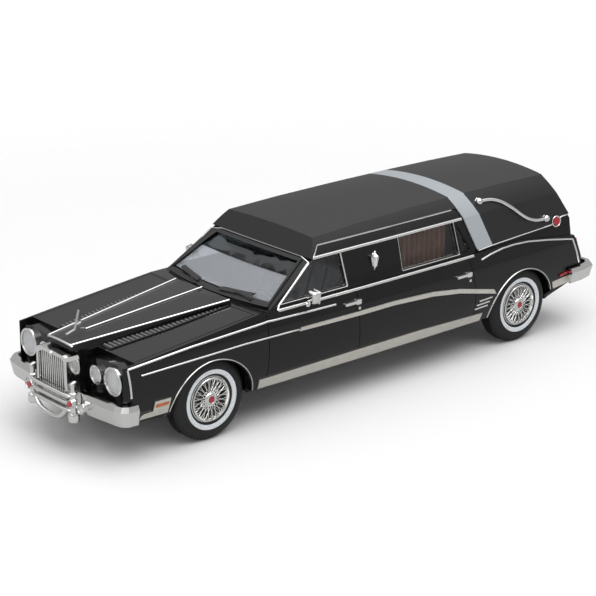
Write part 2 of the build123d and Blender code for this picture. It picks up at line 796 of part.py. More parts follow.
save("window_frames", window_frames.part)
with BuildPart() as screen_frame:
    add(cabin_skin)
    add(ends_prism(screen_half, 8, 25, strip_w), mode=Mode.INTERSECT)
    add(ends_prism(screen_half, 8, 25), mode=Mode.SUBTRACT)
    for outline in (pillar_strip, header_strip):
        add(prism(outline, grow=seam), mode=Mode.SUBTRACT)
    add(prism(side_windows["front"], grow=strip_w + seam), mode=Mode.SUBTRACT)
save("screen_frame", screen_frame.part)
with BuildPart() as arch_mouldings:
    for end_x in (front_axle_x, rear_axle_x):
        for side in (1, -1):
            with BuildSketch(Plane.XZ.offset(-side * 20.5)):
                with Locations((end_x, arch_z)):
                    Circle(arch_r + 0.5)
                    Circle(arch_r, mode=Mode.SUBTRACT)
                with Locations((end_x, sill_z - 9.5)):
                    Rectangle(40, 20, mode=Mode.SUBTRACT)
            extrude(amount=3.2, both=True)
    add(side_skin, mode=Mode.INTERSECT)
save("arch_mouldings", arch_mouldings.part)

# Bumpers, wrapped around the corners and set back between the guards
bumper_lines = {
    "front": {
        "outer": [(62.7, bumper_y), (65.2, 20.4), (66.5, 19.5), (67.0, 17.7), (67.9, 9.0), (66.0, 7.6)],
        "inner": [(62.7, 19.4), (64.4, 19.2), (65.1, 18.6), (65.5, 17.3), (66.5, 9.4), (64.9, 7.6)],
        "low_z": bumper_low_z,
        "top_z": bumper_top_z,
    },
    "rear": {
        "outer": [(-60.5, bumper_y), (-64.8, 20.4), (-68.8, 19.3), (-69.9, 17.8), (-70.2, 9.0), (-68.0, 7.6)],
        "inner": [(-60.5, 19.4), (-64.0, 19.2), (-67.4, 18.4), (-68.3, 17.2), (-68.6, 9.4), (-66.6, 7.6)],
        "low_z": 11.0,
        "top_z": 14.5,
    },
}
bumper_levels = ((0.0, 0.45), (0.75, 0.0), (1.0, 0.4))


def bumper_sketch(line, inset):
    """Plan outline of a bumper, its outer line moved inwards by a share of the depth."""
    outer, inner = line["outer"], line["inner"]
    moved = [
        (x + inset * (in_x - x), y + inset * (in_y - y))
        for (x, y), (in_x, in_y) in zip(outer, inner)
    ]
    return [*moved, (moved[-1][0], -moved[-1][1]), *[(x, -y) for x, y in reversed(moved[:-1])]] + [
        *[(x, -y) for x, y in inner], *reversed(inner)
    ]


bumpers = {}
for end, line in bumper_lines.items():
    low_z, top_z = line["low_z"], line["top_z"]
    with BuildPart() as bumper:
        for share, inset in bumper_levels:
            with BuildSketch(Plane.XY.offset(low_z + share * (top_z - low_z))):
                with BuildLine():
                    Polyline(*bumper_sketch(line, inset), close=True)
                make_face()
        loft(ruled=True)
        with BuildSketch(Plane.XY.offset(top_z - 1.1)):
            with Locations((line["outer"][-1][0], 0)):
                Rectangle(6, 16.4)
        extrude(amount=3, mode=Mode.SUBTRACT)
    bumpers[end] = bumper.part
    save(f"{end}_bumper", bumper.part)

# Guards with their lamp bosses, and the bars and low tube between them
post_x = guard_x + 0.6
post_profile = [
    (0, 7.3),
    (0.95, 7.4),
    (1.15, 9.2),
    (0.75, 9.5),
    (0.75, 12.6),
    (0.95, 12.8),
    (0.95, 13.3),
    (guard_r * 0.8, 13.5),
    (guard_r * 0.8, guard_top_z),
    (0, guard_top_z),
]
tube_line = [(5.4, 9.3), (4.9, 7.6), (3.4, 6.4), (1.6, 5.9), (0, 5.8)]
with BuildPart() as guards:
    for side in (1, -1):
        with BuildSketch(Plane(origin=(post_x, side * guard_y, 0), x_dir=(1, 0, 0), z_dir=(0, -1, 0))):
            with BuildLine():
                Polyline(*post_profile, close=True)
            make_face()
        revolve(axis=Axis((post_x, side * guard_y, 0), (0, 0, 1)))
        with BuildSketch(Plane.XZ.offset(-side * guard_y)):
            with BuildLine():
                Polyline(
                    (post_x + 0.5, guard_top_z - 0.6),
                    (post_x + 0.3, guard_top_z + 0.7),
                    (post_x - 0.9, guard_top_z + 0.7),
                    (post_x - 1.1, guard_top_z + 0.2),
                    (post_x - 0.5, guard_top_z - 0.6),
                    close=True,
                )
            make_face()
        extrude(amount=0.5, both=True)
        with BuildSketch(Plane.YZ.offset(67.2)):
            with Locations((side * (guard_y + 1.5), 10.3)):
                Circle(1.1)
        extrude(amount=1.7)
        with BuildSketch(Plane.YZ.offset(post_x)):
            with Locations((side * guard_y, 11.3)):
                Circle(0.75)
        extrude(amount=0.9)
    for z in bar_z:
        with BuildSketch(Plane.XY.offset(z)):
            with BuildLine():
                Polyline(
                    (post_x, guard_y),
                    (70.2, 5.0),
                    (70.2, -5.0),
                    (post_x, -guard_y),
                    (post_x - 0.4, -guard_y + 0.2),
                    (69.5, -4.8),
                    (69.5, 4.8),
                    (post_x - 0.4, guard_y - 0.2),
                    close=True,
                )
            make_face()
        extrude(amount=2 * bar_r)
    with BuildSketch(Plane.YZ.offset(post_x - 0.6)):
        with BuildLine():
            Polyline(*tube_line, *[(-y, z) for y, z in reversed(tube_line[:-1])])
            outer_tube = [(y * 1.13, z - 0.7) for y, z in tube_line]
            Polyline((-5.4, 9.3), *[(-y, z) for y, z in outer_tube])
            Polyline(*reversed(outer_tube), (5.4, 9.3))
        make_face()
    extrude(amount=0.8)
    add(bumpers["front"], mode=Mode.SUBTRACT)
save("bumper_guards", guards.part)
with BuildPart() as red_markers:
    add(lying_on(side_skin, red_zone))
    with BuildSketch(Plane.YZ.offset(post_x + 0.9 + seam)):
        with Locations((guard_y, 11.3), (-guard_y, 11.3)):
            Circle(0.6)
    extrude(amount=0.25)
save("red_markers", red_markers.part)

# Grille: bright shell with rounded shoulders around a row of upright bars
def grille_outline(inset):
    """Full (y, z) outline of the grille, moved in by inset."""
    half, low, top = grille_half_y - inset, grille_low_z + inset, grille_top_z - inset
    shoulder = [(half, top - 1.1), (half - 0.4, top - 0.4), (half - 1.3, top - 0.1)]
    right = [(half, low), *shoulder, (0, top)]
    return right + [(-y, z) for y, z in reversed(right[:-1])]


with BuildPart() as grille_shell:
    with BuildSketch(Plane.YZ.offset(grille_back_x)):
        with BuildLine():
            Polyline(*grille_outline(0), close=True)
        make_face()
    extrude(amount=grille_front_x - grille_back_x)
    with BuildSketch(Plane.YZ.offset(grille_back_x)):
        with BuildLine():
            Polyline(*grille_outline(shell_t), close=True)
        make_face()
    extrude(amount=grille_front_x - grille_back_x, mode=Mode.SUBTRACT)
save("grille_shell", grille_shell.part)
bar_pitch = 2 * (grille_half_y - shell_t) / grille_bars
bars_depth = grille_front_x - 0.4 - grille_back_x
with BuildPart() as grille:
    with BuildSketch(Plane.YZ.offset(grille_back_x)):
        with BuildLine():
            Polyline(*grille_outline(shell_t + seam), close=True)
        make_face()
    extrude(amount=bars_depth - 1.0)
    with BuildSketch(Plane.YZ.offset(grille_back_x + bars_depth - 1.0)):
        with Locations((0, (grille_low_z + grille_top_z) / 2 - 0.2)):
            with GridLocations(bar_pitch, 1, grille_bars, 1):
                Rectangle(bar_pitch * 0.45, grille_top_z - grille_low_z - 2 * shell_t - 0.8)
    extrude(amount=1.0)
save("grille_bars", grille.part)

# Bright lines of the hood: both edges of the raised part, its middle and its front
hood_low_x = nose_x + 2.0
with BuildPart() as hood_trim:
    for side in (1, -1):
        add(rod((hood_low_x, side * 3.8, 21.9), (cowl_x + 0.3, side * 9.0, 24.6), 0.4, 0.35))
    add(rod((hood_low_x - 4.8, 0, 22.6), (cowl_x + 0.3, 0, 25.1), 0.3, 0.3))
    with BuildSketch(Plane.YZ.offset(hood_low_x)):
        with BuildLine():
            Polyline((-4.2, 21.5), (-3.9, 21.9), (0, 22.2), (3.9, 21.9), (4.2, 21.5), (0, 21.8), close=True)
        make_face()
    extrude(amount=0.25)
    add(hood.part, mode=Mode.SUBTRACT)
save("hood_trim", hood_trim.part)
vent_outline = [(brow_x - 0.6, 5.7), (brow_x - 0.6, 8.7), (47.5, 9.9), (32.2, 10.1), (32.2, 9.8), (47.0, 8.1)]
with BuildPart() as hood_vents:
    add(between(lower_form(0.2), lower_form(seam)))
    add(plan_prism(vent_outline), mode=Mode.INTERSECT)
    add(prism([(28, 19), (70, 19), (70, 40), (28, 40)]), mode=Mode.INTERSECT)
    add(hood.part, mode=Mode.SUBTRACT)
save("hood_vents", hood_vents.part)

# Lamps
with BuildPart() as lamp_bezels:
    with BuildSketch(Plane.YZ.offset(lamp_seat_x + seam)):
        for y, z, r in lamp_places:
            with Locations((y, z), (-y, z)):
                Circle(r - seam)
                Circle(r - 0.45, mode=Mode.SUBTRACT)
    extrude(amount=1.6)
save("lamp_bezels", lamp_bezels.part)
with BuildPart() as lamp_lenses:
    with BuildSketch(Plane.YZ.offset(lamp_seat_x + seam)):
        for y, z, r in lamp_places:
            with Locations((y, z), (-y, z)):
                Circle(r - 0.45 - seam)
    extrude(amount=1.3)
save("lamp_lenses", lamp_lenses.part)

# Interior
floor_z = plate_z + plate_t + seam
deck_z = 15.6
shelf_z = 19.5
lining_y = 15.8
aisle_y = 9.9
deck_front_x = -12.0
with BuildPart() as interior_floor:
    add(lower_sides(-wall - 0.1))
    zone = [(29.0, floor_z), (29.0, floor_z + 0.8), (-33.0, floor_z + 0.8), (-33.0, floor_z)]
    add(prism(zone), mode=Mode.INTERSECT)
    with BuildSketch(Plane.XY.offset(floor_z)):
        with Locations((screw_x, 0), (-screw_x, 0)):
            Circle(boss_r + 0.1)
    extrude(amount=0.8, mode=Mode.SUBTRACT)
save("interior_floor", interior_floor.part)
with BuildPart() as casket_deck:
    with BuildSketch(Plane.YZ.offset(deck_front_x)):
        with BuildLine():
            Polyline(
                (0, deck_z),
                (aisle_y, deck_z),
                (aisle_y, shelf_z),
                (lining_y, shelf_z),
                (lining_y, shelf_z + 0.8),
                (aisle_y - 0.8, shelf_z + 0.8),
                (aisle_y - 0.8, deck_z + 0.8),
                (0, deck_z + 0.8),
                close=True,
            )
        make_face()
        mirror(about=Plane.YZ)
    extrude(amount=tail_x + 5.0 - deck_front_x)
    with BuildSketch(Plane.YZ.offset(deck_front_x)):
        with BuildLine():
            Polyline(
                (-lining_y, floor_z + 0.8 + seam),
                (lining_y, floor_z + 0.8 + seam),
                (lining_y, shelf_z + 0.8),
                (-lining_y, shelf_z + 0.8),
                close=True,
            )
        make_face()
    extrude(amount=0.8)
save("casket_deck", casket_deck.part)

seat_low_z = floor_z + 0.8 + seam
with BuildPart() as front_seat:
    with BuildSketch(Plane.XZ):
        with BuildLine():
            Polyline(
                (12.5, seat_low_z),
                (13.0, seat_low_z + 4.6),
                (4.6, seat_low_z + 4.0),
                (0.6, 24.6),
                (-1.4, 24.4),
                (1.6, seat_low_z),
                close=True,
            )
        make_face()
        fillet(vertices().group_by(Axis.Y)[-1], radius=0.6)
    extrude(amount=14.6, both=True)
    with BuildSketch(Plane.XY.offset(seat_low_z)):
        Rectangle(60, 0.8)
    extrude(amount=20, mode=Mode.SUBTRACT)
save("front_seat", front_seat.part)

dash_x = 23.0
with BuildPart() as dashboard:
    with BuildSketch(Plane.XZ):
        with BuildLine():
            top_edge = [(dash_x - 0.6, 21.4), (dash_x + 0.6, 22.3), (27.6, 22.3)]
            Polyline((dash_x, 17.5), *top_edge, (27.6, 17.5), close=True)
        make_face()
    extrude(amount=15.6, both=True)
save("dashboard", dashboard.part)

wheel_centre = (19.6, 7.4, 20.6)
with BuildPart() as steering_wheel:
    hub_plane = Plane(origin=wheel_centre, x_dir=(0, 1, 0), z_dir=(-cos(0.42), 0, sin(0.42)))
    with BuildSketch(hub_plane):
        Circle(3.9)
        Circle(3.4, mode=Mode.SUBTRACT)
        Rectangle(7.2, 0.7)
        Circle(0.9)
    extrude(amount=0.5)
    with BuildSketch(hub_plane):
        Circle(0.5)
    extrude(amount=-2.8)
save("steering_wheel", steering_wheel.part)

# Pleated curtains behind the rear side windows
pleat_pitch = 1.5
curtain_x = (-10.0, -25.0)
curtain_y = 13.9
pleats = int((curtain_x[0] - curtain_x[1]) / pleat_pitch)
folds = [
    (curtain_x[0] - i * pleat_pitch / 2, curtain_y + (0.2 if i % 2 else -0.2))
    for i in range(2 * pleats + 1)
]
with BuildPart() as curtains:
    with BuildSketch(Plane.XY.offset(shelf_z + 0.8 + seam)):
        with BuildLine():
            Polyline(*folds, *[(x, y + 0.4) for x, y in reversed(folds)], close=True)
        make_face()
        mirror(about=Plane.XZ)
    extrude(amount=31.9 - shelf_z - 0.8)
save("curtains", curtains.part)

# Small bright pieces
with BuildPart() as door_handles:
    for x, z in ((7.0, 21.3), (-25.8, 20.2)):
        for side in (1, -1):
            with BuildSketch(Plane.XZ.offset(-side * 19.0)):
                with Locations((x, z)):
                    SlotOverall(4.2, 0.6)
                with Locations((x - 1.7, z)):
                    RectangleRounded(1.4, 1.1, 0.25)
                with Locations((x - 1.9, z - 1.4)):
                    Circle(0.33)
            extrude(amount=-side * 1.0)
    with BuildSketch(Plane.YZ.offset(tail_x - 1.0)):
        with Locations((0, 16.4)):
            RectangleRounded(4.0, 0.9, 0.3)
    extrude(amount=1.3)
    add(lower_outer, mode=Mode.SUBTRACT)
save("door_handles", door_handles.part)

with BuildPart() as mirrors:
    for side in (1, -1):
        with BuildSketch(Plane.YZ.offset(17.4)):
            with Locations((side * 20.4, 25.3)):
                RectangleRounded(2.6, 2.7, 0.5)
        extrude(amount=2.1)
        with BuildSketch(Plane.YZ.offset(17.9)):
            with Locations((side * 18.9, 24.1)):
                Rectangle(1.6, 0.6)
        extrude(amount=0.7)
    add(cabin_form(vinyl_t), mode=Mode.SUBTRACT)
    add(lower_outer, mode=Mode.SUBTRACT)
save("mirrors", mirrors.part)

with BuildSketch(Plane.XZ) as lamp_outline:
    with Locations((-1.5, 28.3)):
        Ellipse(0.9, 2.3)
        RectangleRounded(1.8, 2.9, 0.3)
with BuildPart() as carriage_lamps:
    add(between(cabin_form(0.9), cabin_form(seam)))
    add(side_prism(lamp_outline), mode=Mode.INTERSECT)
save("carriage_lamps", carriage_lamps.part)

landau_path = [(-34.9, 34.5), (-38.3, 34.2), (-41.2, 33.2), (-44.0, 31.4), (-46.4, 29.6)]
landau_path += [(-48.8, 28.1), (-51.6, 27.2), (-54.7, 27.0)]
with BuildSketch(Plane.XZ) as landau_outline:
    with BuildLine():
        Polyline(*strip(landau_path, 0.8), close=True)
    make_face()
    with Locations(landau_path[0], landau_path[-1]):
        Circle(0.85)
with BuildPart() as landau_bars:
    add(between(cabin_form(0.9), cabin_form(vinyl_t + seam)))
    add(side_prism(landau_outline), mode=Mode.INTERSECT)
save("landau_bars", landau_bars.part)

with BuildSketch(Plane.XZ) as medallion_outline:
    with Locations(medallion_at):
        Circle(medallion_r)
with BuildPart() as medallions:
    add(between(cabin_form(vinyl_t + 0.45), cabin_form(vinyl_t + seam)))
    add(side_prism(medallion_outline), mode=Mode.INTERSECT)
save("medallions", medallions.part)

with BuildPart() as hood_ornament:
    with BuildSketch(Plane.XZ):
        with BuildLine():
            fin = [(62.1, 23.4), (61.7, 26.9), (62.2, 27.2), (63.3, 23.4)]
            Polyline((65.3, 22.2), (61.0, 22.4), (60.8, 23.1), *fin, (65.3, 22.8), close=True)
        make_face()
    extrude(amount=0.35, both=True)
    add(hood.part, mode=Mode.SUBTRACT)
    add(hood_trim.part, mode=Mode.SUBTRACT)
save("hood_ornament", hood_ornament.part)

wiper_blades = (
    [(-12.6, 25.5), (-12.6, 25.8), (-4.6, 25.3), (-4.6, 25.0)],
    [(2.6, 25.0), (2.6, 25.3), (11.6, 25.7), (11.6, 25.4)],
)
with BuildPart() as blade_prisms:
    with BuildSketch(Plane.YZ.offset(10)):
        for blade in wiper_blades:
            with BuildLine():
                Polyline(*blade, close=True)
            make_face()
    extrude(amount=25)
with BuildPart() as wipers:
    add(between(cabin_form(0.8), cabin_form(vinyl_t + seam)))
    add(blade_prisms.part, mode=Mode.INTERSECT)
save("wipers", wipers.part)

with BuildPart() as tail_lamps:
    add(between(lower_form(0.5), lower_form(seam)))
    with BuildSketch(Plane.YZ.offset(tail_x + 2.9)):
        with Locations((16.7, 18.2), (-16.7, 18.2)):
            Rectangle(2.4, 5.2)
    extrude(amount=-5, mode=Mode.INTERSECT)
    add(side_skin, mode=Mode.SUBTRACT)
save("tail_lamps", tail_lamps.part)
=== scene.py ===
"""Looks of a 1:43 scale model of a hearse: finishes, fine trim, wheels, glass and stage."""

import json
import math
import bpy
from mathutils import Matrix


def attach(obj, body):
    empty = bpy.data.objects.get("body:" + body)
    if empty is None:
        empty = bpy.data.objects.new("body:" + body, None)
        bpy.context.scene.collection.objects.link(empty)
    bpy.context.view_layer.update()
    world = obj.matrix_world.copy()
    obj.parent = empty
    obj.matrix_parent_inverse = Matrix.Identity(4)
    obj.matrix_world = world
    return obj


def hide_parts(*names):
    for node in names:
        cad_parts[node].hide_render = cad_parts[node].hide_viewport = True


bl_info = {
    "name": "Hearse Scale Model",
    "version": (1, 0, 0),
    "blender": (4, 5, 0),
    "location": "View3D > Sidebar > Hearse",
    "description": "Finishes and fine pieces for a scale model of a hearse",
    "category": "Object",
}

import bmesh
import bpy
from bpy.props import FloatProperty, FloatVectorProperty, PointerProperty
from mathutils import Matrix, Vector
from mathutils.bvhtree import BVHTree

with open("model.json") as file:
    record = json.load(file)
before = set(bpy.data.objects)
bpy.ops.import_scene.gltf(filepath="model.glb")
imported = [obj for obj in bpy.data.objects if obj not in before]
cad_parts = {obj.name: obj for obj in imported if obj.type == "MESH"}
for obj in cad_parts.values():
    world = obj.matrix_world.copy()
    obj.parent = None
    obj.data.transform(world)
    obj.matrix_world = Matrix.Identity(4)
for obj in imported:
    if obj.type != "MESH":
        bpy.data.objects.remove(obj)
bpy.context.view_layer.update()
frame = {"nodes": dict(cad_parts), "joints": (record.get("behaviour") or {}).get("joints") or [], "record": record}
nodes = frame["nodes"]

MM = 0.001
AXLES = {joint["child"]: Vector(joint["pos_m"]) for joint in frame["joints"]}
SENSOR_MM = 36.0
IMAGE_PIXELS = 596.0
FOCAL_PIXELS = 2019.6
FORWARD, UP = Vector((1, 0, 0)), Vector((0, 0, 1))

# Angles for smooth shading and bevels, and the gap in millimetres within which doubles merge
SMOOTH_UP_TO = math.radians(35)
BEVEL_FROM = math.radians(32)
MERGE_WITHIN = 0.0005


# Settings shown in the sidebar


def colour_setting(name, description, default):
    """A colour that the sidebar shows."""
    return FloatVectorProperty(
        name=name, description=description, subtype="COLOR", default=default, min=0.0, max=1.0
    )


class PaintSettings(bpy.types.PropertyGroup):
    """Colours of paint, vinyl and trim."""

    body: colour_setting("Body paint", "Gloss black of the body", (0.0045, 0.0045, 0.0050))
    vinyl: colour_setting("Vinyl", "Black of the grained roof", (0.011, 0.011, 0.012))
    band: colour_setting("Band", "Silver of the band across the roof", (0.45, 0.48, 0.51))
    curtain: colour_setting("Curtain", "Brown of the pleated curtains", (0.16, 0.062, 0.030))
    red: colour_setting("Red", "Red of lenses, medallions and hub centres", (0.42, 0.012, 0.028))


class StageSettings(bpy.types.PropertyGroup):
    """Camera and floor."""

    camera_place: FloatVectorProperty(
        name="Camera", description="Where the camera stands",
        subtype="TRANSLATION", unit="LENGTH", default=(0.2742, 0.3149, 0.1596),
    )
    camera_azimuth: FloatProperty(
        name="Azimuth", description="Direction of view around the upright axis",
        subtype="ANGLE", default=math.radians(-130.52),
    )
    camera_drop: FloatProperty(
        name="Drop", description="How far the view looks down",
        subtype="ANGLE", default=math.radians(19.01),
    )
    lens: FloatProperty(
        name="Lens", description="Focal length on a 36 mm wide sensor",
        default=FOCAL_PIXELS * SENSOR_MM / IMAGE_PIXELS, min=1.0,
    )
    floor_grey: FloatProperty(
        name="Floor", description="How pale the floor is", default=0.86, min=0.0, max=1.0
    )


# Materials


def add_node(tree, kind, inputs=None, **traits):
    """A new node with its traits, and with each input linked or set."""
    node = tree.nodes.new(kind)
    for trait, value in traits.items():
        setattr(node, trait, value)
    for socket, value in (inputs or {}).items():
        if isinstance(value, bpy.types.NodeSocket):
            tree.links.new(value, node.inputs[socket])
        else:
            node.inputs[socket].default_value = value
    return node


def object_coordinates(tree, stretch):
    """Object coordinates, stretched for brushed or woven patterns."""
    where = add_node(tree, "ShaderNodeTexCoord").outputs["Object"]
    mapping = add_node(tree, "ShaderNodeMapping", {"Vector": where, "Scale": stretch})
    return mapping.outputs["Vector"]


def new_finish(name, colour, metallic, roughness, others=None, stretch=(1.0, 1.0, 1.0)):
    """A material with its shader's plain values set, its tree and its coordinates."""
    material = bpy.data.materials.new(name)
    material.use_nodes = True
    tree = material.node_tree
    shader = tree.nodes["Principled BSDF"]
    shader.inputs["Base Color"].default_value = (*colour, 1.0)
    shader.inputs["Metallic"].default_value = metallic
    shader.inputs["Roughness"].default_value = roughness
    for socket, value in (others or {}).items():
        shader.inputs[socket].default_value = value
    return material, tree, shader, object_coordinates(tree, stretch)


def noise(tree, vector, per_mm, detail=3.0, roughness=0.5):
    """Noise whose grains are about 1 / per_mm millimetres."""
    inputs = {"Vector": vector, "Scale": per_mm / MM, "Detail": detail, "Roughness": roughness}
    return add_node(tree, "ShaderNodeTexNoise", inputs).outputs["Fac"]


def bump(tree, shader, height, depth_mm, strength):
    """Raise the surface by a height pattern."""
    inputs = {"Height": height, "Strength": strength, "Distance": depth_mm * MM}
    node = add_node(tree, "ShaderNodeBump", inputs)
    tree.links.new(node.outputs["Normal"], shader.inputs["Normal"])


def haze(tree, shader, value, low, high):
    """Roughness that wanders from low to high over the middle of a 0..1 pattern."""
    inputs = {"Value": value, "From Min": 0.3, "From Max": 0.7, "To Min": low, "To Max": high}
    result = add_node(tree, "ShaderNodeMapRange", inputs).outputs["Result"]
    tree.links.new(result, shader.inputs["Roughness"])


def shade(colour, factor):
    """A colour made lighter or darker."""
    return tuple(min(1.0, part * factor) for part in colour)


def tint(tree, shader, value, colour, dark, light):
    """Colour that wanders between two shades of itself."""
    ramp = add_node(tree, "ShaderNodeValToRGB", {"Fac": value})
    for stop, place, factor in zip(ramp.color_ramp.elements, (0.3, 0.7), (dark, light)):
        stop.position = place
        stop.color = (*shade(colour, factor), 1.0)
    tree.links.new(ramp.outputs["Color"], shader.inputs["Base Color"])


def gloss_paint(name, colour):
    """Gloss paint under clear lacquer, with the faint waviness of sprayed paint."""
    coat = {"Specular IOR Level": 0.05, "Coat Weight": 1.0, "Coat Roughness": 0.04}
    coat["Coat IOR"] = 1.42
    material, tree, shader, vector = new_finish(name, colour, 0.0, 0.35, coat)
    tint(tree, shader, noise(tree, vector, 0.15), colour, 0.85, 1.15)
    bump(tree, shader, noise(tree, vector, 0.6, 1.0), 0.004, 0.5)
    return material


def grained_vinyl(name, colour):
    """Satin vinyl with a fine leather grain."""
    material, tree, shader, vector = new_finish(name, colour, 0.0, 0.40)
    inputs = {"Vector": vector, "Scale": 4.0 / MM}
    cells = add_node(tree, "ShaderNodeTexVoronoi", inputs, feature="SMOOTH_F1")
    tint(tree, shader, noise(tree, vector, 3.0), colour, 0.9, 1.1)
    haze(tree, shader, noise(tree, vector, 4.0), 0.37, 0.43)
    bump(tree, shader, cells.outputs["Distance"], 0.012, 0.35)
    return material


def bright_chrome(name, tone, roughness):
    """Plated metal with slight haze."""
    colour = (tone, tone, tone * 0.985)
    material, tree, shader, vector = new_finish(name, colour, 1.0, roughness)
    haze(tree, shader, noise(tree, vector, 0.8), roughness * 0.7, roughness * 1.6)
    bump(tree, shader, noise(tree, vector, 1.5, 2.0), 0.004, 0.35)
    return material


def brushed_steel(name, colour):
    """Stainless steel brushed along the car."""
    along_car = (0.04, 1.0, 1.0)
    material, tree, shader, vector = new_finish(name, colour, 1.0, 0.34, stretch=along_car)
    lines = noise(tree, vector, 14.0, 4.0, 0.6)
    tint(tree, shader, lines, colour, 0.8, 1.15)
    haze(tree, shader, lines, 0.26, 0.44)
    bump(tree, shader, lines, 0.004, 0.5)
    return material


def silver_paint(name, colour):
    """Satin metallic paint."""
    material, tree, shader, vector = new_finish(name, colour, 0.2, 0.42)
    tint(tree, shader, noise(tree, vector, 9.0), colour, 0.96, 1.04)
    bump(tree, shader, noise(tree, vector, 8.0), 0.002, 0.2)
    return material


def moulded(name, colour, roughness, grain=4.0, depth_mm=0.01):
    """Moulded plastic or satin paint with a fine surface."""
    material, tree, shader, vector = new_finish(name, colour, 0.0, roughness)
    fine = noise(tree, vector, grain)
    tint(tree, shader, fine, colour, 0.85, 1.2)
    haze(tree, shader, fine, roughness * 0.9, roughness * 1.1)
    bump(tree, shader, fine, depth_mm, 0.5)
    return material


def pane(name, colour, roughness=0.02, clear=1.0, ior=1.45):
    """Pane of a scale model, faintly wavy; where clear is under 1 its pale colour is painted reflection."""
    glass = {"Transmission Weight": clear, "IOR": ior}
    material, tree, shader, vector = new_finish(name, colour, 0.0, roughness, glass)
    waves = noise(tree, vector, 0.3, 1.0)
    tint(tree, shader, waves, colour, 0.98, 1.02)
    bump(tree, shader, waves, 0.004, 0.3)
    return material


def fluted_glass_with_painted_light(name, colour):
    """Lamp glass pressed with upright flutes, pale and partly opaque as painted light for the lit reflector behind
    it.
    """
    glass = {"Transmission Weight": 0.7, "IOR": 1.35}
    material, tree, shader, vector = new_finish(name, colour, 0.0, 0.08, glass)
    inputs = {"Vector": vector, "Scale": 0.55 / MM}
    flutes = add_node(tree, "ShaderNodeTexWave", inputs, bands_direction="Y")
    bump(tree, shader, flutes.outputs["Fac"], 0.03, 0.35)
    return material


def coloured_lens(name, colour):
    """Glossy coloured lens with a mottled depth."""
    coat = {"Coat Weight": 1.0, "Coat Roughness": 0.03}
    material, tree, shader, vector = new_finish(name, colour, 0.0, 0.12, coat)
    cells = noise(tree, vector, 3.0)
    tint(tree, shader, cells, colour, 0.6, 1.4)
    bump(tree, shader, cells, 0.02, 0.5)
    return material


def cloth(name, colour):
    """Woven cloth with a soft sheen."""
    sheen = {"Sheen Weight": 0.3}
    material, tree, shader, vector = new_finish(name, colour, 0.0, 0.85, sheen)
    weave = noise(tree, vector, 6.0)
    tint(tree, shader, weave, colour, 0.6, 1.3)
    bump(tree, shader, weave, 0.03, 0.6)
    return material


FINISHES = {}


def finish(name):
    """A finish of this model by its slot's name, made once."""
    if name in FINISHES:
        return FINISHES[name]
    paint = bpy.context.scene.hearse_paint
    looks = {
        "gloss_black": (gloss_paint, paint.body),
        "underside_black": (moulded, (0.014, 0.014, 0.015), 0.5),
        "vinyl": (grained_vinyl, paint.vinyl),
        "band_silver": (silver_paint, paint.band),
        "window_glass": (pane, (0.93, 0.94, 0.95)),
        # The windscreen's pale bluish colour is painted reflection
        "screen_glass_painted_reflection": (pane, (0.70, 0.73, 0.78), 0.03, 0.72, 1.5),
        "tint_band": (pane, (0.20, 0.23, 0.24), 0.05),
        "carpet": (cloth, (0.035, 0.035, 0.038)),
        "deck_trim": (moulded, (0.05, 0.045, 0.04), 0.5),
        "seat_cloth": (moulded, (0.62, 0.62, 0.64), 0.6, 2.0, 0.02),
        "dash_plastic": (moulded, (0.09, 0.09, 0.10), 0.5),
        "curtain_cloth": (cloth, paint.curtain),
        "chrome": (bright_chrome, 0.88, 0.10),
        # The pale lamp glass is painted light that stands in for the lit reflectors behind it
        "lamp_glass": (fluted_glass_with_painted_light, (0.96, 0.97, 0.98)),
        "reflector": (silver_paint, (0.86, 0.87, 0.88)),
        "red_lens": (coloured_lens, paint.red),
        "red_enamel": (coloured_lens, shade(paint.red, 0.9)),
        "wiper_black": (moulded, (0.012, 0.012, 0.012), 0.4),
        "brushed_trim": (brushed_steel, (0.84, 0.82, 0.75)),
        "tyre": (moulded, (0.010, 0.010, 0.011), 0.55),
        "whitewall": (moulded, (0.70, 0.73, 0.76), 0.5, 4.0, 0.003),
        "axle_steel": (brushed_steel, (0.4, 0.4, 0.4)),
        "amber_lens": (coloured_lens, (0.50, 0.11, 0.01)),
        "vent_black": (moulded, (0.008, 0.008, 0.009), 0.45),
        "vent_rib": (moulded, (0.20, 0.20, 0.21), 0.35),
        "mirror": (bright_chrome, 0.9, 0.02),
        "seal_rubber": (moulded, (0.010, 0.010, 0.011), 0.5),
    }
    make, *values = looks[name]
    FINISHES[name] = make(name, *values)
    return FINISHES[name]


def dress(target, slot):
    """Give an object one finish."""
    target.data.materials.clear()
    target.data.materials.append(finish(slot))


# Mesh helpers


def point(x, y, z):
    """A place given in millimetres."""
    return Vector((x, y, z)) * MM


def along(place, direction):
    """Matrix that puts local Z along a direction at a place."""
    return Matrix.Translation(place) @ direction.to_track_quat("Z", "Y").to_matrix().to_4x4()


def turned(mesh, profile, centre, axis, steps):
    """Spin a closed line of (radius, height) points, in millimetres, around an axis."""
    out = axis.orthogonal().normalized()
    verts = [mesh.verts.new(centre + (out * r + axis * h) * MM) for r, h in profile]
    edges = [mesh.edges.new(pair) for pair in zip(verts, verts[1:] + verts[:1])]
    bmesh.ops.spin(
        mesh, geom=verts + edges, cent=centre, axis=axis, dvec=(0.0, 0.0, 0.0),
        angle=2.0 * math.pi, steps=steps, use_merge=True, use_duplicate=False,
    )


def bar(mesh, start, end, radius, end_radius=None, sides=8):
    """Round bar between two places in millimetres."""
    low, high = point(*start), point(*end)
    far = radius if end_radius is None else end_radius
    bmesh.ops.create_cone(
        mesh, cap_ends=True, segments=sides, radius1=radius * MM, radius2=far * MM,
        depth=(high - low).length, matrix=along((low + high) / 2, high - low),
    )


def ball(mesh, place, radius):
    """Ball around a place in millimetres."""
    bmesh.ops.create_uvsphere(
        mesh, u_segments=24, v_segments=12, radius=radius * MM, matrix=along(point(*place), UP)
    )


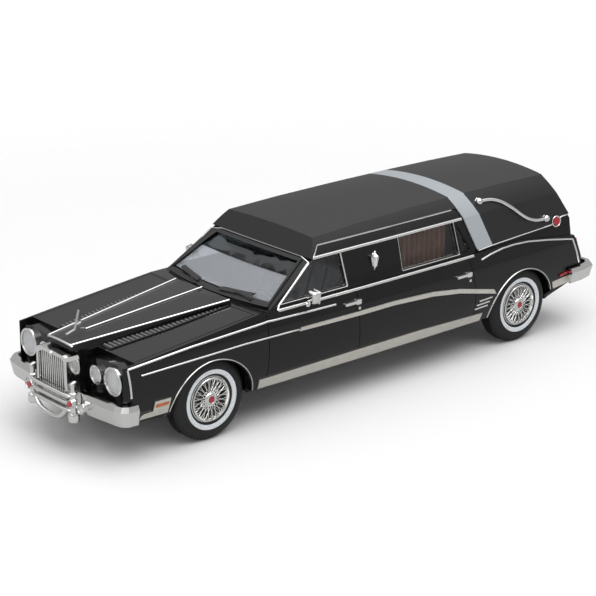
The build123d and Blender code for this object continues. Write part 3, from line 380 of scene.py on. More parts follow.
def hoop(mesh, place, radius, thick, facing):
    """Round ring of 40 steps with 10 sides."""
    turns = [2 * math.pi * i / 10 for i in range(10)]
    ring = [(radius + thick * math.cos(turn), thick * math.sin(turn)) for turn in turns]
    turned(mesh, ring, point(*place), Vector(facing).normalized(), 40)


def block(mesh, place, size, edge, turn=None, segments=2):
    """Block with rounded edges."""
    matrix = Matrix.Translation(point(*place))
    if turn is not None:
        matrix = matrix @ turn
    matrix = matrix @ Matrix.Diagonal((*(part * MM for part in size), 1.0))
    made = bmesh.ops.create_cube(mesh, size=1.0, matrix=matrix)
    edges = list({line for vert in made["verts"] for line in vert.link_edges})
    bmesh.ops.bevel(
        mesh, geom=edges, offset=edge * MM, offset_type="OFFSET", segments=segments,
        profile=0.5, affect="EDGES", material=-1, clamp_overlap=True,
    )


def join_rings(mesh, rings):
    """Walls between closed lines of edges, and a face at each end."""
    for low, high in zip(rings, rings[1:]):
        bmesh.ops.bridge_loops(mesh, edges=low + high)
    for ring in (rings[0], rings[-1]):
        bmesh.ops.contextual_create(mesh, geom=ring)


def tube(mesh, path, radius, sides=12):
    """Round tube through places in millimetres."""
    places = [point(*place) for place in path]
    rings = []
    for i, place in enumerate(places):
        ahead = places[min(i + 1, len(places) - 1)] - places[max(i - 1, 0)]
        made = bmesh.ops.create_circle(
            mesh, cap_ends=False, segments=sides, radius=radius * MM, matrix=along(place, ahead)
        )
        lines = dict.fromkeys(line for vert in made["verts"] for line in vert.link_edges)
        rings.append(list(lines))
    join_rings(mesh, rings)


def mirrored(line):
    """A line on the other side of the car, back to front."""
    return [(x, -y, z) for x, y, z in reversed(line)]


def smooth_path(places, steps):
    """Points on a smooth curve through the given places."""
    ends = [places[0], *places, places[-1]]
    path = []
    for before, start, end, after in zip(ends, ends[1:], ends[2:], ends[3:]):
        a, b, c, d = (Vector(place) for place in (before, start, end, after))
        for i in range(steps):
            s = i / steps
            bend = (2 * a - 5 * b + 4 * c - d) * s * s + (3 * b - a - 3 * c + d) * s * s * s
            path.append(0.5 * (2 * b + (c - a) * s + bend))
    path.append(Vector(places[-1]))
    return path


SKINS = {}

# Rays start this far out and up in millimetres
OUTSIDE, ABOVE = 40.0, 60.0


def cast(name, place, direction):
    """(place, normal) where a ray meets a carried-over piece, in millimetres, or None."""
    if name not in SKINS:
        target = nodes[name]
        mesh = bmesh.new()
        mesh.from_mesh(target.data)
        mesh.transform(target.matrix_world)
        SKINS[name] = BVHTree.FromBMesh(mesh)
        mesh.free()
    hit, normal = SKINS[name].ray_cast(point(*place), Vector(direction))[:2]
    return None if hit is None else (hit / MM, normal)


def touch(name, place, direction):
    """The place alone where such a ray meets the piece, or None."""
    found = cast(name, place, direction)
    return None if found is None else found[0]


def side_at(x, z, side, *names):
    """The y of the outer surface of the side at (x, z), in millimetres."""
    hits = [touch(name, (x, side * OUTSIDE, z), (0, -side, 0)) for name in names]
    return max(side * hit.y for hit in hits if hit is not None) * side


def top_at(x, y, *names):
    """The z of the upper surface at (x, y), in millimetres."""
    hits = [touch(name, (x, y, ABOVE), -UP) for name in names]
    return max(hit.z for hit in hits if hit is not None)


def hits_on(name, starts, way):
    """(place, normal) where rays from some places meet a carried-over piece."""
    found = [cast(name, start, way) for start in starts]
    return [hit for hit in found if hit is not None]


def bead(mesh, hits, half, height):
    """Half-round strip along (place, normal) points that lie on a surface."""
    root, sides = 0.15, 8
    rings = []
    for i, (place, normal) in enumerate(hits):
        ahead = hits[min(i + 1, len(hits) - 1)][0] - hits[max(i - 1, 0)][0]
        wide = ahead.cross(normal).normalized() * half
        spots = [place - normal * root + wide]
        for k in range(sides + 1):
            turn = math.pi * k / sides
            spots.append(place + wide * math.cos(turn) + normal * height * math.sin(turn))
        spots.append(place - normal * root - wide)
        ring = [mesh.verts.new(spot * MM) for spot in spots]
        rings.append([mesh.edges.new(pair) for pair in zip(ring, ring[1:] + ring[:1])])
    join_rings(mesh, rings)


def new_object(name, data):
    """An object in the scene that shows some data."""
    thing = bpy.data.objects.new(name, data)
    bpy.context.scene.collection.objects.link(thing)
    return thing


def add_piece(name, mesh, slot, body="body", smooth=True):
    """Turn a finished bmesh into an object that rides on a body."""
    bmesh.ops.remove_doubles(mesh, verts=mesh.verts, dist=MERGE_WITHIN * MM)
    bmesh.ops.recalc_face_normals(mesh, faces=mesh.faces)
    data = bpy.data.meshes.new(name)
    mesh.to_mesh(data)
    mesh.free()
    piece = new_object(name, data)
    data.materials.append(finish(slot))
    if smooth:
        for face in data.polygons:
            face.use_smooth = True
        data.set_sharp_from_angle(angle=SMOOTH_UP_TO)
    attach(piece, body)
    return piece


# Stage


def facing(place, direction):
    """World matrix of a camera or lamp that looks from a place along a direction."""
    turn = direction.to_track_quat("-Z", "Y").to_matrix().to_4x4()
    return Matrix.Translation(place) @ turn


def soft_lamp(name, place, target, size, power):
    """A rectangular area lamp aimed at a point."""
    data = bpy.data.lights.new(name, "AREA")
    data.shape = "RECTANGLE"
    data.size, data.size_y = size
    data.energy = power
    new_object(name, data).matrix_world = facing(place, Vector(target) - Vector(place))


# Area lamps: name, place, target, width and height in metres, power in watts
LIGHTS = (
    ("key", (0.05, 0.30, 0.80), (0, 0, 0.02), (1.0, 0.8), 4.2),
    ("fill", (0.7, 0.1, 0.35), (0.03, 0, 0.02), (0.5, 0.3), 0.6),
    ("back", (-0.25, -0.20, 0.85), (0, 0, 0.02), (0.8, 0.5), 1.2),
)
FLOOR_HALF = 3.0
FLOOR_FADE = (0.12, 0.24)


class HEARSE_OT_stage(bpy.types.Operator):
    """Camera, pale floor and soft studio light"""

    bl_idname = "hearse.stage"
    bl_label = "Stage"

    def execute(self, context):
        scene = context.scene
        stage = scene.hearse_stage
        scene.view_settings.view_transform = "Standard"
        data = bpy.data.cameras.new("camera")
        data.sensor_width = SENSOR_MM
        data.lens = stage.lens
        data.clip_start, data.clip_end = 0.01, 20.0
        camera = new_object("camera", data)
        turn, drop = stage.camera_azimuth, stage.camera_drop
        view = (math.cos(drop) * math.cos(turn), math.cos(drop) * math.sin(turn), -math.sin(drop))
        camera.matrix_world = facing(Vector(stage.camera_place), Vector(view))
        scene.camera = camera

        mesh = bmesh.new()
        bmesh.ops.create_grid(mesh, x_segments=1, y_segments=1, size=FLOOR_HALF)
        floor_data = bpy.data.meshes.new("floor")
        mesh.to_mesh(floor_data)
        mesh.free()
        floor = new_object("floor", floor_data)
        floor_data.materials.append(self.floor_finish(stage.floor_grey))

        for light in LIGHTS:
            soft_lamp(*light)
        self.sky(scene)
        return {"FINISHED"}

    def floor_finish(self, grey):
        """Matt pale floor that shows as white to the camera away from shadows."""
        dull = {"Specular IOR Level": 0.2}
        material, tree, shader, vector = new_finish("floor", (grey, grey, grey), 0.0, 0.7, dull)
        path = add_node(tree, "ShaderNodeLightPath")
        colour = (grey, grey, grey, 1.0)
        for ray, factor in (("Is Glossy Ray", 0.6), ("Is Camera Ray", 1.15)):
            other = (grey * factor, grey * factor, grey * factor, 1.0)
            inputs = {"Factor": path.outputs[ray], "A": colour, "B": other}
            colour = add_node(tree, "ShaderNodeMix", inputs, data_type="RGBA").outputs["Result"]
        tree.links.new(colour, shader.inputs["Base Color"])
        bump(tree, shader, noise(tree, vector, 0.5), 0.01, 0.1)
        reach = add_node(tree, "ShaderNodeVectorMath", {0: vector}, operation="LENGTH")
        inputs = {"Value": reach.outputs["Value"]}
        inputs["From Min"], inputs["From Max"] = FLOOR_FADE
        edge = add_node(tree, "ShaderNodeMapRange", inputs, interpolation_type="SMOOTHSTEP")
        inputs = {0: edge.outputs["Result"], 1: path.outputs["Is Camera Ray"]}
        seen = add_node(tree, "ShaderNodeMath", inputs, operation="MULTIPLY").outputs["Value"]
        clear = add_node(tree, "ShaderNodeBsdfTransparent").outputs["BSDF"]
        inputs = {"Fac": seen, 1: shader.outputs["BSDF"], 2: clear}
        blend = add_node(tree, "ShaderNodeMixShader", inputs)
        output = tree.nodes["Material Output"]
        tree.links.new(blend.outputs["Shader"], output.inputs["Surface"])
        return material

    def sky(self, scene):
        """Soft grey surroundings, paler overhead and white where seen or looked through."""
        world = bpy.data.worlds.new("surroundings")
        scene.world = world
        world.use_nodes = True
        tree = world.node_tree
        background = tree.nodes["Background"]
        background.inputs["Color"].default_value = (1.0, 1.0, 1.0, 1.0)
        rays = add_node(tree, "ShaderNodeLightPath").outputs
        inputs = {0: rays["Is Camera Ray"], 1: rays["Is Transmission Ray"]}
        seen = add_node(tree, "ShaderNodeMath", inputs, operation="MAXIMUM").outputs["Value"]
        inputs = {"Value": seen, "To Min": 0.5, "To Max": 1.0}
        level = add_node(tree, "ShaderNodeMapRange", inputs).outputs["Result"]
        where = add_node(tree, "ShaderNodeTexCoord").outputs["Generated"]
        height = add_node(tree, "ShaderNodeSeparateXYZ", {"Vector": where}).outputs["Z"]
        inputs = {"Value": height, "From Min": 0.35, "From Max": 0.85, "To Min": 0.4, "To Max": 1.1}
        dome = add_node(tree, "ShaderNodeMapRange", inputs, interpolation_type="SMOOTHSTEP")
        inputs = {"Factor": rays["Is Glossy Ray"], "A": level, "B": dome.outputs["Result"]}
        choice = add_node(tree, "ShaderNodeMix", inputs, data_type="FLOAT")
        tree.links.new(choice.outputs["Result"], background.inputs["Strength"])


class HEARSE_OT_finishes(bpy.types.Operator):
    """Give every carried-over piece its finish"""

    bl_idname = "hearse.finishes"
    bl_label = "Finishes"

    def execute(self, context):
        for entry in frame["record"]["subparts"]:
            dress(nodes[entry["node"]], entry["material_slot"])
        # The windscreen gets paler glass, whose pale bluish tone is painted reflection
        dress(nodes["windscreen"], "screen_glass_painted_reflection")
        return {"FINISHED"}


# Bevel widths in millimetres, with the pieces that get them
SOFT_EDGES = {
    0.05: ("wipers", "side_markers", "red_markers"),
    0.08: ("sweep_mouldings", "rocker_panels", "marker_plates", "tail_lamps", "base_plate"),
    0.09: ("body_shell",),
    0.10: ("roof_band",),
    0.12: ("lamp_bezels", "vinyl_roof"),
    0.14: ("door_handles", "hood_ornament"),
    0.18: ("grille_shell",),
    0.25: ("front_bumper", "rear_bumper"),
    0.30: ("dashboard",),
    0.40: ("front_seat",),
}


class HEARSE_OT_edges(bpy.types.Operator):
    """Round the edges of the carried-over pieces a little"""

    bl_idname = "hearse.edges"
    bl_label = "Edges"

    def execute(self, context):
        for width, names in SOFT_EDGES.items():
            for name in names:
                soften = nodes[name].modifiers.new("soft edges", "BEVEL")
                soften.width = width * MM
                soften.segments = 3
                soften.limit_method = "ANGLE"
                soften.angle_limit = BEVEL_FROM
                soften.use_clamp_overlap = True
                soften.harden_normals = True
        return {"FINISHED"}


TAIL_LINE = [(-32.1, 22.3), (-35.4, 22.95), (-39.2, 23.4), (-43.0, 23.5), (-47.8, 23.25)]
TAIL_LINE += [(-55.0, 22.25), (-62.4, 20.95)]

# For each piece that the strips stand in for: their (x, z) line, half width and height
STRIP_SETS = {
    "fender_strips": (
        ([(63.9, 20.2), (49.0, 21.3), (29.2, 22.1), (11.2, 21.8)], 0.27, 0.40),
        ([(61.0, 18.4), (49.1, 18.7), (35.6, 19.0), (21.6, 18.9)], 0.22, 0.34),
        ([(63.9, 20.2), (63.4, 14.4)], 0.24, 0.36),
    ),
    "rear_strips": (
        (TAIL_LINE, 0.24, 0.36),
        ([(-62.4, 20.95), (-64.3, 15.2)], 0.24, 0.36),
        ([(-31.0, 13.1), (-35.1, 13.25)], 0.21, 0.34),
        ([(-30.3, 12.25), (-34.4, 12.4)], 0.21, 0.34),
        ([(-29.8, 11.4), (-33.9, 11.55)], 0.21, 0.34),
    ),
    "window_frames": (
        ([(26.1, 23.62), (15.1, 31.85)], 0.26, 0.34),
        ([(14.9, 31.86), (-28.3, 31.86)], 0.36, 0.38),
        ([(7.35, 31.7), (6.55, 24.5)], 0.19, 0.28),
        ([(24.8, 24.42), (6.6, 24.42)], 0.13, 0.22),
        ([(-9.1, 31.7), (-9.3, 24.5)], 0.07, 0.14),
        ([(-9.3, 24.42), (-26.6, 24.42)], 0.13, 0.22),
        ([(-25.8, 31.7), (-26.6, 24.5)], 0.07, 0.14),
    ),
}
BELT_LINE = [(26.1, 23.62), (-30.0, 23.62)]
BASE_LINE = [(-32.2, 24.15), (-36.9, 24.45), (-47.0, 24.8), (-57.3, 25.1), (-60.2, 26.3)]
BASE_LINE += [(-63.0, 26.4)]
ARCH_RADIUS, ARCH_HEIGHT = 10.56, 6.9

# Longest step along a strip, and how far from the middle the sides begin
STEP = 1.2
INNERMOST = 10.0

# Half width and height of the other strips
BELT_SIZE = (0.36, 0.40)
BASE_SIZE = (0.24, 0.50)
ARCH_SIZE = (0.15, 0.28)
DRIP_SIZE = (0.27, 0.34)
HEADER_SIZE = (0.28, 0.34)


def finer(line):
    """A line with points no further apart than STEP."""
    path = [Vector(line[0])]
    for start, end in zip(line, line[1:]):
        a, b = Vector(start), Vector(end)
        count = max(1, math.ceil((b - a).length / STEP))
        path += [a + (b - a) * (i + 1) / count for i in range(count)]
    return path


def side_hits(line, side):
    """Where the points of an (x, z) line meet the outer side of the car."""
    starts = [(x, side * OUTSIDE, z) for x, z in finer(line)]
    found = hits_on("body_shell", starts, (0, -side, 0))
    return [hit for hit in found if side * hit[0].y > INNERMOST]


class HEARSE_OT_strips(bpy.types.Operator):
    """Half-round bright strips along the sides, windows, arches and hood"""

    bl_idname = "hearse.strips"
    bl_label = "Strips"

    def execute(self, context):
        for name, strips in STRIP_SETS.items():
            mesh = bmesh.new()
            for side in (1, -1):
                for line, half, height in strips:
                    bead(mesh, side_hits(line, side), half, height)
            piece = add_piece("bright_" + name, mesh, "chrome")
            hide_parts(name)
        self.belt()
        self.arches()
        self.hood()
        return {"FINISHED"}

    def belt(self):
        """Belt line and the line under the vinyl, which runs around the back."""
        mesh = bmesh.new()
        for side in (1, -1):
            bead(mesh, side_hits(BELT_LINE, side), *BELT_SIZE)
            bead(mesh, side_hits(BASE_LINE, side), *BASE_SIZE)
        starts = [(-100, 15.0 - i, 26.42) for i in range(31)]
        bead(mesh, hits_on("body_shell", starts, FORWARD), *BASE_SIZE)
        piece = add_piece("bright_belt", mesh, "chrome")
        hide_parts("belt_strips")

    def arches(self):
        """Rolled bright edges of the wheel openings."""
        mesh = bmesh.new()
        for axle in AXLES.values():
            middle = axle.x / MM
            line = []
            for i in range(41):
                turn = math.radians(7 + 166 * i / 40)
                z = ARCH_HEIGHT + ARCH_RADIUS * math.sin(turn)
                line.append((middle + ARCH_RADIUS * math.cos(turn), z))
            for side in (1, -1):
                bead(mesh, side_hits(line, side), *ARCH_SIZE)
        piece = add_piece("bright_arches", mesh, "chrome")
        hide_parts("arch_mouldings")

    def hood(self):
        """Lines along the raised hood and around its front."""
        mesh = bmesh.new()
        for side in (1, -1):
            tube(mesh, [(66.9, side * 3.9, 21.95), (31.3, side * 9.0, 24.68)], 0.24)
        tube(mesh, [(62.0, 0, 22.75), (31.3, 0, 25.16)], 0.20)
        front = [(66.8, 4.15, 21.62), (66.95, 3.9, 21.9), (67.05, 2.0, 22.05), (67.08, 0, 22.1)]
        tube(mesh, front + mirrored(front[:-1]), 0.22)
        piece = add_piece("bright_hood", mesh, "chrome")
        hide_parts("hood_trim")


# Walls of a tyre at these y. Its lines are (radius, depth below the outer wall) points.
TYRE_FACE = 18.5
TYRE_BACK = 13.3
BAND_SEAT = (5.33, 5.35, 6.38)
TYRE_SIDE = (
    (4.90, 0.50), (5.10, 0.32), (5.33, 0.28), (5.35, 0.36), (6.38, 0.28), (6.40, 0.02),
    (6.55, 0.00), (6.62, 0.07), (6.95, 0.11), (7.00, 0.05), (7.15, 0.07), (7.20, 0.16),
    (7.70, 0.30), (8.10, 0.52), (8.40, 0.78), (8.62, 1.08), (8.75, 1.38),
)
GROOVES = (1.75, 2.30, 2.90, 3.45)
SIPE_ROWS = (1.45, 3.75)
SIPES = 60
BAND = ((5.36, 0.38), (5.38, 0.22), (5.50, 0.13), (6.20, 0.04), (6.34, 0.06), (6.38, 0.30))
RIM = (
    (4.88, 4.20), (4.88, 0.50), (4.72, 0.42), (4.66, 0.16), (4.54, 0.06), (4.38, 0.10),
    (4.28, 0.34), (4.16, 0.40), (4.06, 0.62), (3.96, 1.60), (3.90, 4.20),
)
HUB = (
    (0.92, 2.60), (1.30, 2.40), (1.22, 0.95), (1.48, 0.62), (1.50, 0.38), (1.34, 0.14),
    (1.10, 0.02), (0.80, -0.02), (0.70, 0.06), (0.68, 0.24), (0.00, 0.24), (0.00, 2.60),
)
BOWL = ((1.2, 1.9), (3.92, 1.5), (3.92, 2.2), (1.2, 2.6))
WIRES = 20

# Layers of wires: outer end, inner end, start and lean of the turn, wire radius
WIRE_LAYERS = (
    ((4.14, 0.52), (1.38, 0.42), 0.5, 0.34, 0.085),
    ((4.14, 0.52), (1.38, 0.42), 0.0, -0.34, 0.085),
    ((4.02, 1.10), (1.25, 1.35), 0.0, 0.16, 0.080),
)


def from_face(line):
    """The (radius, height) points of a line given by its depth."""
    return [(r, TYRE_FACE - depth) for r, depth in line]


class HEARSE_OT_wheels(bpy.types.Operator):
    """Tyres with treads and wheels with crossed wires"""

    bl_idname = "hearse.wheels"
    bl_label = "Wheels"

    def execute(self, context):
        for end in ("front", "rear"):
            body = end + "_wheels"
            for hand, side in (("left", 1), ("right", -1)):
                wheel = (end + "_" + hand, AXLES[body], Vector((0, side, 0)), body)
                self.tyre(*wheel)
                self.rim(*wheel)
        return {"FINISHED"}

    def tyre(self, place, centre, axis, body):
        """Rounded walls, a few raised rings and grooves around the tread."""
        mesh = bmesh.new()
        profile = from_face(TYRE_SIDE)
        for depth in GROOVES:
            at = TYRE_FACE - depth
            profile += [(8.80, at + 0.11), (8.52, at + 0.08), (8.52, at - 0.08), (8.80, at - 0.11)]
        back = [(r, TYRE_BACK + depth) for r, depth in TYRE_SIDE if r not in BAND_SEAT]
        turned(mesh, profile + back[::-1], centre, axis, 96)
        for i in range(SIPES):
            turn = Matrix.Rotation(2 * math.pi * i / SIPES, 4, "Y")
            for depth in SIPE_ROWS:
                spot = point(8.72, axis.y * (TYRE_FACE - depth), 0.0)
                matrix = Matrix.Translation(centre) @ turn @ Matrix.Translation(spot)
                matrix = matrix @ Matrix.Diagonal((0.14 * MM, 0.30 * MM, 0.55 * MM, 1.0))
                bmesh.ops.create_cube(mesh, size=1.0, matrix=matrix)
        tyre = add_piece("tread_" + place, mesh, "tyre", body)
        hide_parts("tyre_" + place)
        mesh = bmesh.new()
        turned(mesh, from_face(BAND), centre, axis, 96)
        white = add_piece("white_band_" + place, mesh, "whitewall", body)
        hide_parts("whitewall_" + place)

    def rim(self, place, centre, axis, body):
        """Bright rim and hub with layers of wires before a dark bowl."""
        mesh = bmesh.new()
        turned(mesh, from_face(RIM), centre, axis, 72)
        turned(mesh, from_face(HUB), centre, axis, 40)

        def spot(radius, depth, angle):
            """A place on the wheel in millimetres."""
            y = axis.y * (TYRE_FACE - depth)
            return Vector((radius * math.cos(angle), y, radius * math.sin(angle))) + centre / MM

        for outer, inner, start, lean, thick in WIRE_LAYERS:
            for i in range(WIRES):
                turn = 2 * math.pi * (i + start) / WIRES
                bar(mesh, spot(*outer, turn), spot(*inner, turn + lean), thick, sides=6)
        for i in range(WIRES):
            ball(mesh, spot(4.12, 0.50, 2 * math.pi * (i + 0.25) / WIRES), 0.12)
        rim = add_piece("wire_wheel_" + place, mesh, "chrome", body)
        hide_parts("wheel_" + place)
        mesh = bmesh.new()
        turned(mesh, from_face(BOWL), centre, axis, 48)
        add_piece("wheel_bowl_" + place, mesh, "underside_black", body)


# Lamps as (y, z, radius) before a face at LAMP_SEAT
LAMPS = ((14.7, 16.9, 2.95), (8.9, 16.7, 1.95))
LAMP_SEAT = 63.22

# Middles of the medallions and lanterns as (x, z)
MEDALLION = (-58.0, 25.8)
LANTERN = (-1.5, 28.3)


class HEARSE_OT_lamps(bpy.types.Operator):
    """Headlamps, medallion rims and ribs of the tail lamps"""

    bl_idname = "hearse.lamps"
    bl_label = "Lamps"

    def execute(self, context):
        self.headlamps()
        self.small_lamps()
        return {"FINISHED"}

    def headlamps(self):
        """Fluted domes with bowls behind them and bright rims."""
        lenses, bowls, rings = bmesh.new(), bmesh.new(), bmesh.new()
        for y, z, size in LAMPS:
            r = size - 0.47
            for side in (1, -1):
                centre = point(LAMP_SEAT, side * y, z)
                dome = [(r, 1.12), (r * 0.97, 1.38), (r * 0.8, 1.56), (r * 0.5, 1.70), (0, 1.76)]
                inside = [(0, 1.56), (r * 0.5, 1.50), (r * 0.8, 1.36), (r * 0.97, 1.12)]
                turned(lenses, dome + inside, centre, FORWARD, 48)
                bowl = [(r, 1.02), (r * 0.85, 0.55), (r * 0.55, 0.25), (0, 0.12), (0, 0.02)]
                turned(bowls, bowl + [(r, 0.02)], centre, FORWARD, 48)
                ball(bowls, (LAMP_SEAT + 0.45, side * y, z), r * 0.16)
                hoop(rings, (LAMP_SEAT + 1.45, side * y, z), size - 0.30, 0.2, FORWARD)
        # The domes are pale, partly opaque glass: painted light for the lit bowls behind them
        lens = add_piece("lamp_domes", lenses, "lamp_glass")
        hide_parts("lamp_lenses")
        add_piece("lamp_bowls", bowls, "reflector")
        add_piece("lamp_rims", rings, "chrome")

    def small_lamps(self):
        """Rims around the medallions and ribs across the tail lamps."""
        mesh = bmesh.new()
        for side in (1, -1):
            x, z = MEDALLION
            y = side_at(x, z, side, "medallions", "vinyl_roof")
            hoop(mesh, (x, y - side * 0.1, z), 1.18, 0.16, (0.12, side, 0.12))
        add_piece("medallion_rims", mesh, "chrome")
        mesh = bmesh.new()
        for side in (1, -1):
            for z in (16.6, 17.7, 18.8, 19.9):
                hit = touch("tail_lamps", (-90, side * 16.7, z), FORWARD)
                if hit is not None:
                    bar(mesh, (hit.x, side * 15.6, z), (hit.x, side * 17.8, z), 0.11)
        add_piece("tail_lamp_ribs", mesh, "chrome")


class HEARSE_OT_front(bpy.types.Operator):
    """Grille bars before a dark core, boss, bumper guards and vent ribs"""

    bl_idname = "hearse.front"
    bl_label = "Front"

    def execute(self, context):
        self.grille()
        self.guards()
        self.vents()
        return {"FINISHED"}

    def grille(self):
        """Upright bars with a frame, a dark core behind them and a boss above."""
        bars, core = bmesh.new(), bmesh.new()
        low, high, half, count = 9.65, 19.55, 4.45, 13
        middle, tall = (low + high) / 2, high - low
        for i in range(count):
            y = -half + 0.28 + (2 * half - 0.56) * i / (count - 1)
            block(bars, (68.15, y, middle), (0.9, 0.30, tall), 0.12)
        for z in (low + 0.1, high - 0.1):
            block(bars, (68.0, 0, z), (0.5, 2 * half, 0.28), 0.08)
        grid = add_piece("grille_teeth", bars, "chrome")
        block(core, (66.9, 0, middle), (1.2, 2 * half + 0.05, tall), 0.05)
        add_piece("grille_core", core, "vent_black")
        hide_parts("grille_bars")

        mesh = bmesh.new()
        boss = [(0, 0.42), (0.32, 0.40), (0.45, 0.28), (0.52, 0.0), (0, 0.0)]
        turned(mesh, boss, point(69.05, 0, 19.75), FORWARD, 32)
        add_piece("grille_boss", mesh, "chrome")

    def vents(self):
        """Ribs across the two long vents in the hood."""
        ribs = bmesh.new()
        outer = ((60.9, 8.7), (47.5, 9.9), (32.4, 10.05))
        inner = ((60.9, 5.8), (47.0, 8.15), (32.4, 9.85))
        for side in (1, -1):
            for i in range(28):
                x = 60.4 - i
                y_out, y_in = across(outer, x), across(inner, x)
                if y_out - y_in > 0.35:
                    ys = side * (y_in + 0.12), side * (y_out - 0.12)
                    ends = [(x, y, top_at(x, y, "hood_vents", "body_shell") + 0.06) for y in ys]
                    bar(ribs, *ends, 0.19, sides=6)
        add_piece("vent_ribs", ribs, "vent_rib")

    def guards(self):
        """Posts with cups and hooks, round bars, a low hoop and two fog lamps."""
        mesh, glass = bmesh.new(), bmesh.new()
        x, y = 69.0, 7.1
        lamp_y, lamp_z = 9.2, 10.6
        bar_radius, hoop_radius = 0.38, 0.50
        post = [(0, 7.3), (0.9, 7.3), (1.1, 7.5), (1.15, 8.9), (1.0, 9.2), (0.62, 9.4)]
        post += [(0.58, 10.4), (0.78, 10.6), (0.78, 12.0), (0.58, 12.2), (0.58, 12.9)]
        post += [(0.82, 13.1), (0.82, 13.4), (0.5, 13.6), (0.46, 14.7), (0.6, 14.8)]
        post += [(0.6, 15.0), (0, 15.1)]
        for side in (1, -1):
            turned(mesh, post, point(x, side * y, 0), UP, 32)
            lean = Matrix.Rotation(0.35, 4, "Y")
            block(mesh, (x - 0.1, side * y, 15.3), (1.3, 0.95, 0.7), 0.2, lean)
            boss = [(0, 0), (0.85, 0), (0.85, 0.72), (0.72, 0.86), (0.64, 0.86), (0.6, 0.7)]
            turned(mesh, boss + [(0, 0.7)], point(x, side * y, 11.3), FORWARD, 28)
            centre = point(67.3, side * lamp_y, lamp_z)
            cup = [(0, 0), (0.55, 0), (1.0, 0.5), (1.18, 1.1), (1.2, 1.55), (1.08, 1.6)]
            cup += [(1.02, 1.4), (0.7, 0.75), (0, 0.6)]
            turned(mesh, cup, centre, FORWARD, 32)
            lens = [(0, 1.62), (0.6, 1.56), (0.98, 1.42), (1.0, 1.3), (0, 1.46)]
            turned(glass, lens, centre, FORWARD, 32)
            bar(mesh, (67.9, side * lamp_y, lamp_z), (68.9, side * 7.3, lamp_z), 0.28)
        for z in (9.6, 11.1, 12.6):
            half = [(x, y, z), (69.5, 6.3, z), (69.75, 5.2, z), (69.8, 3.0, z)]
            tube(mesh, smooth_path(half + mirrored(half), 3), bar_radius)
        half = [(69.5, 5.3, 9.6), (69.7, 4.8, 8.7), (69.75, 3.6, 7.7), (69.75, 1.8, 7.2)]
        tube(mesh, smooth_path(half + [(69.75, 0, 7.1)] + mirrored(half), 4), hoop_radius)
        guards = add_piece("guard_bars", mesh, "chrome")
        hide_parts("bumper_guards")
        # The fog lenses share the pale lamp glass, painted light for their lit insides
        add_piece("fog_lenses", glass, "lamp_glass")


def across(line, x):
    """The second value of a line of (x, value) points at x."""
    for (x_a, v_a), (x_b, v_b) in zip(line, line[1:]):
        if x_b <= x <= x_a:
            return v_a + (v_b - v_a) * (x - x_a) / (x_b - x_a)
    return line[-1][1]


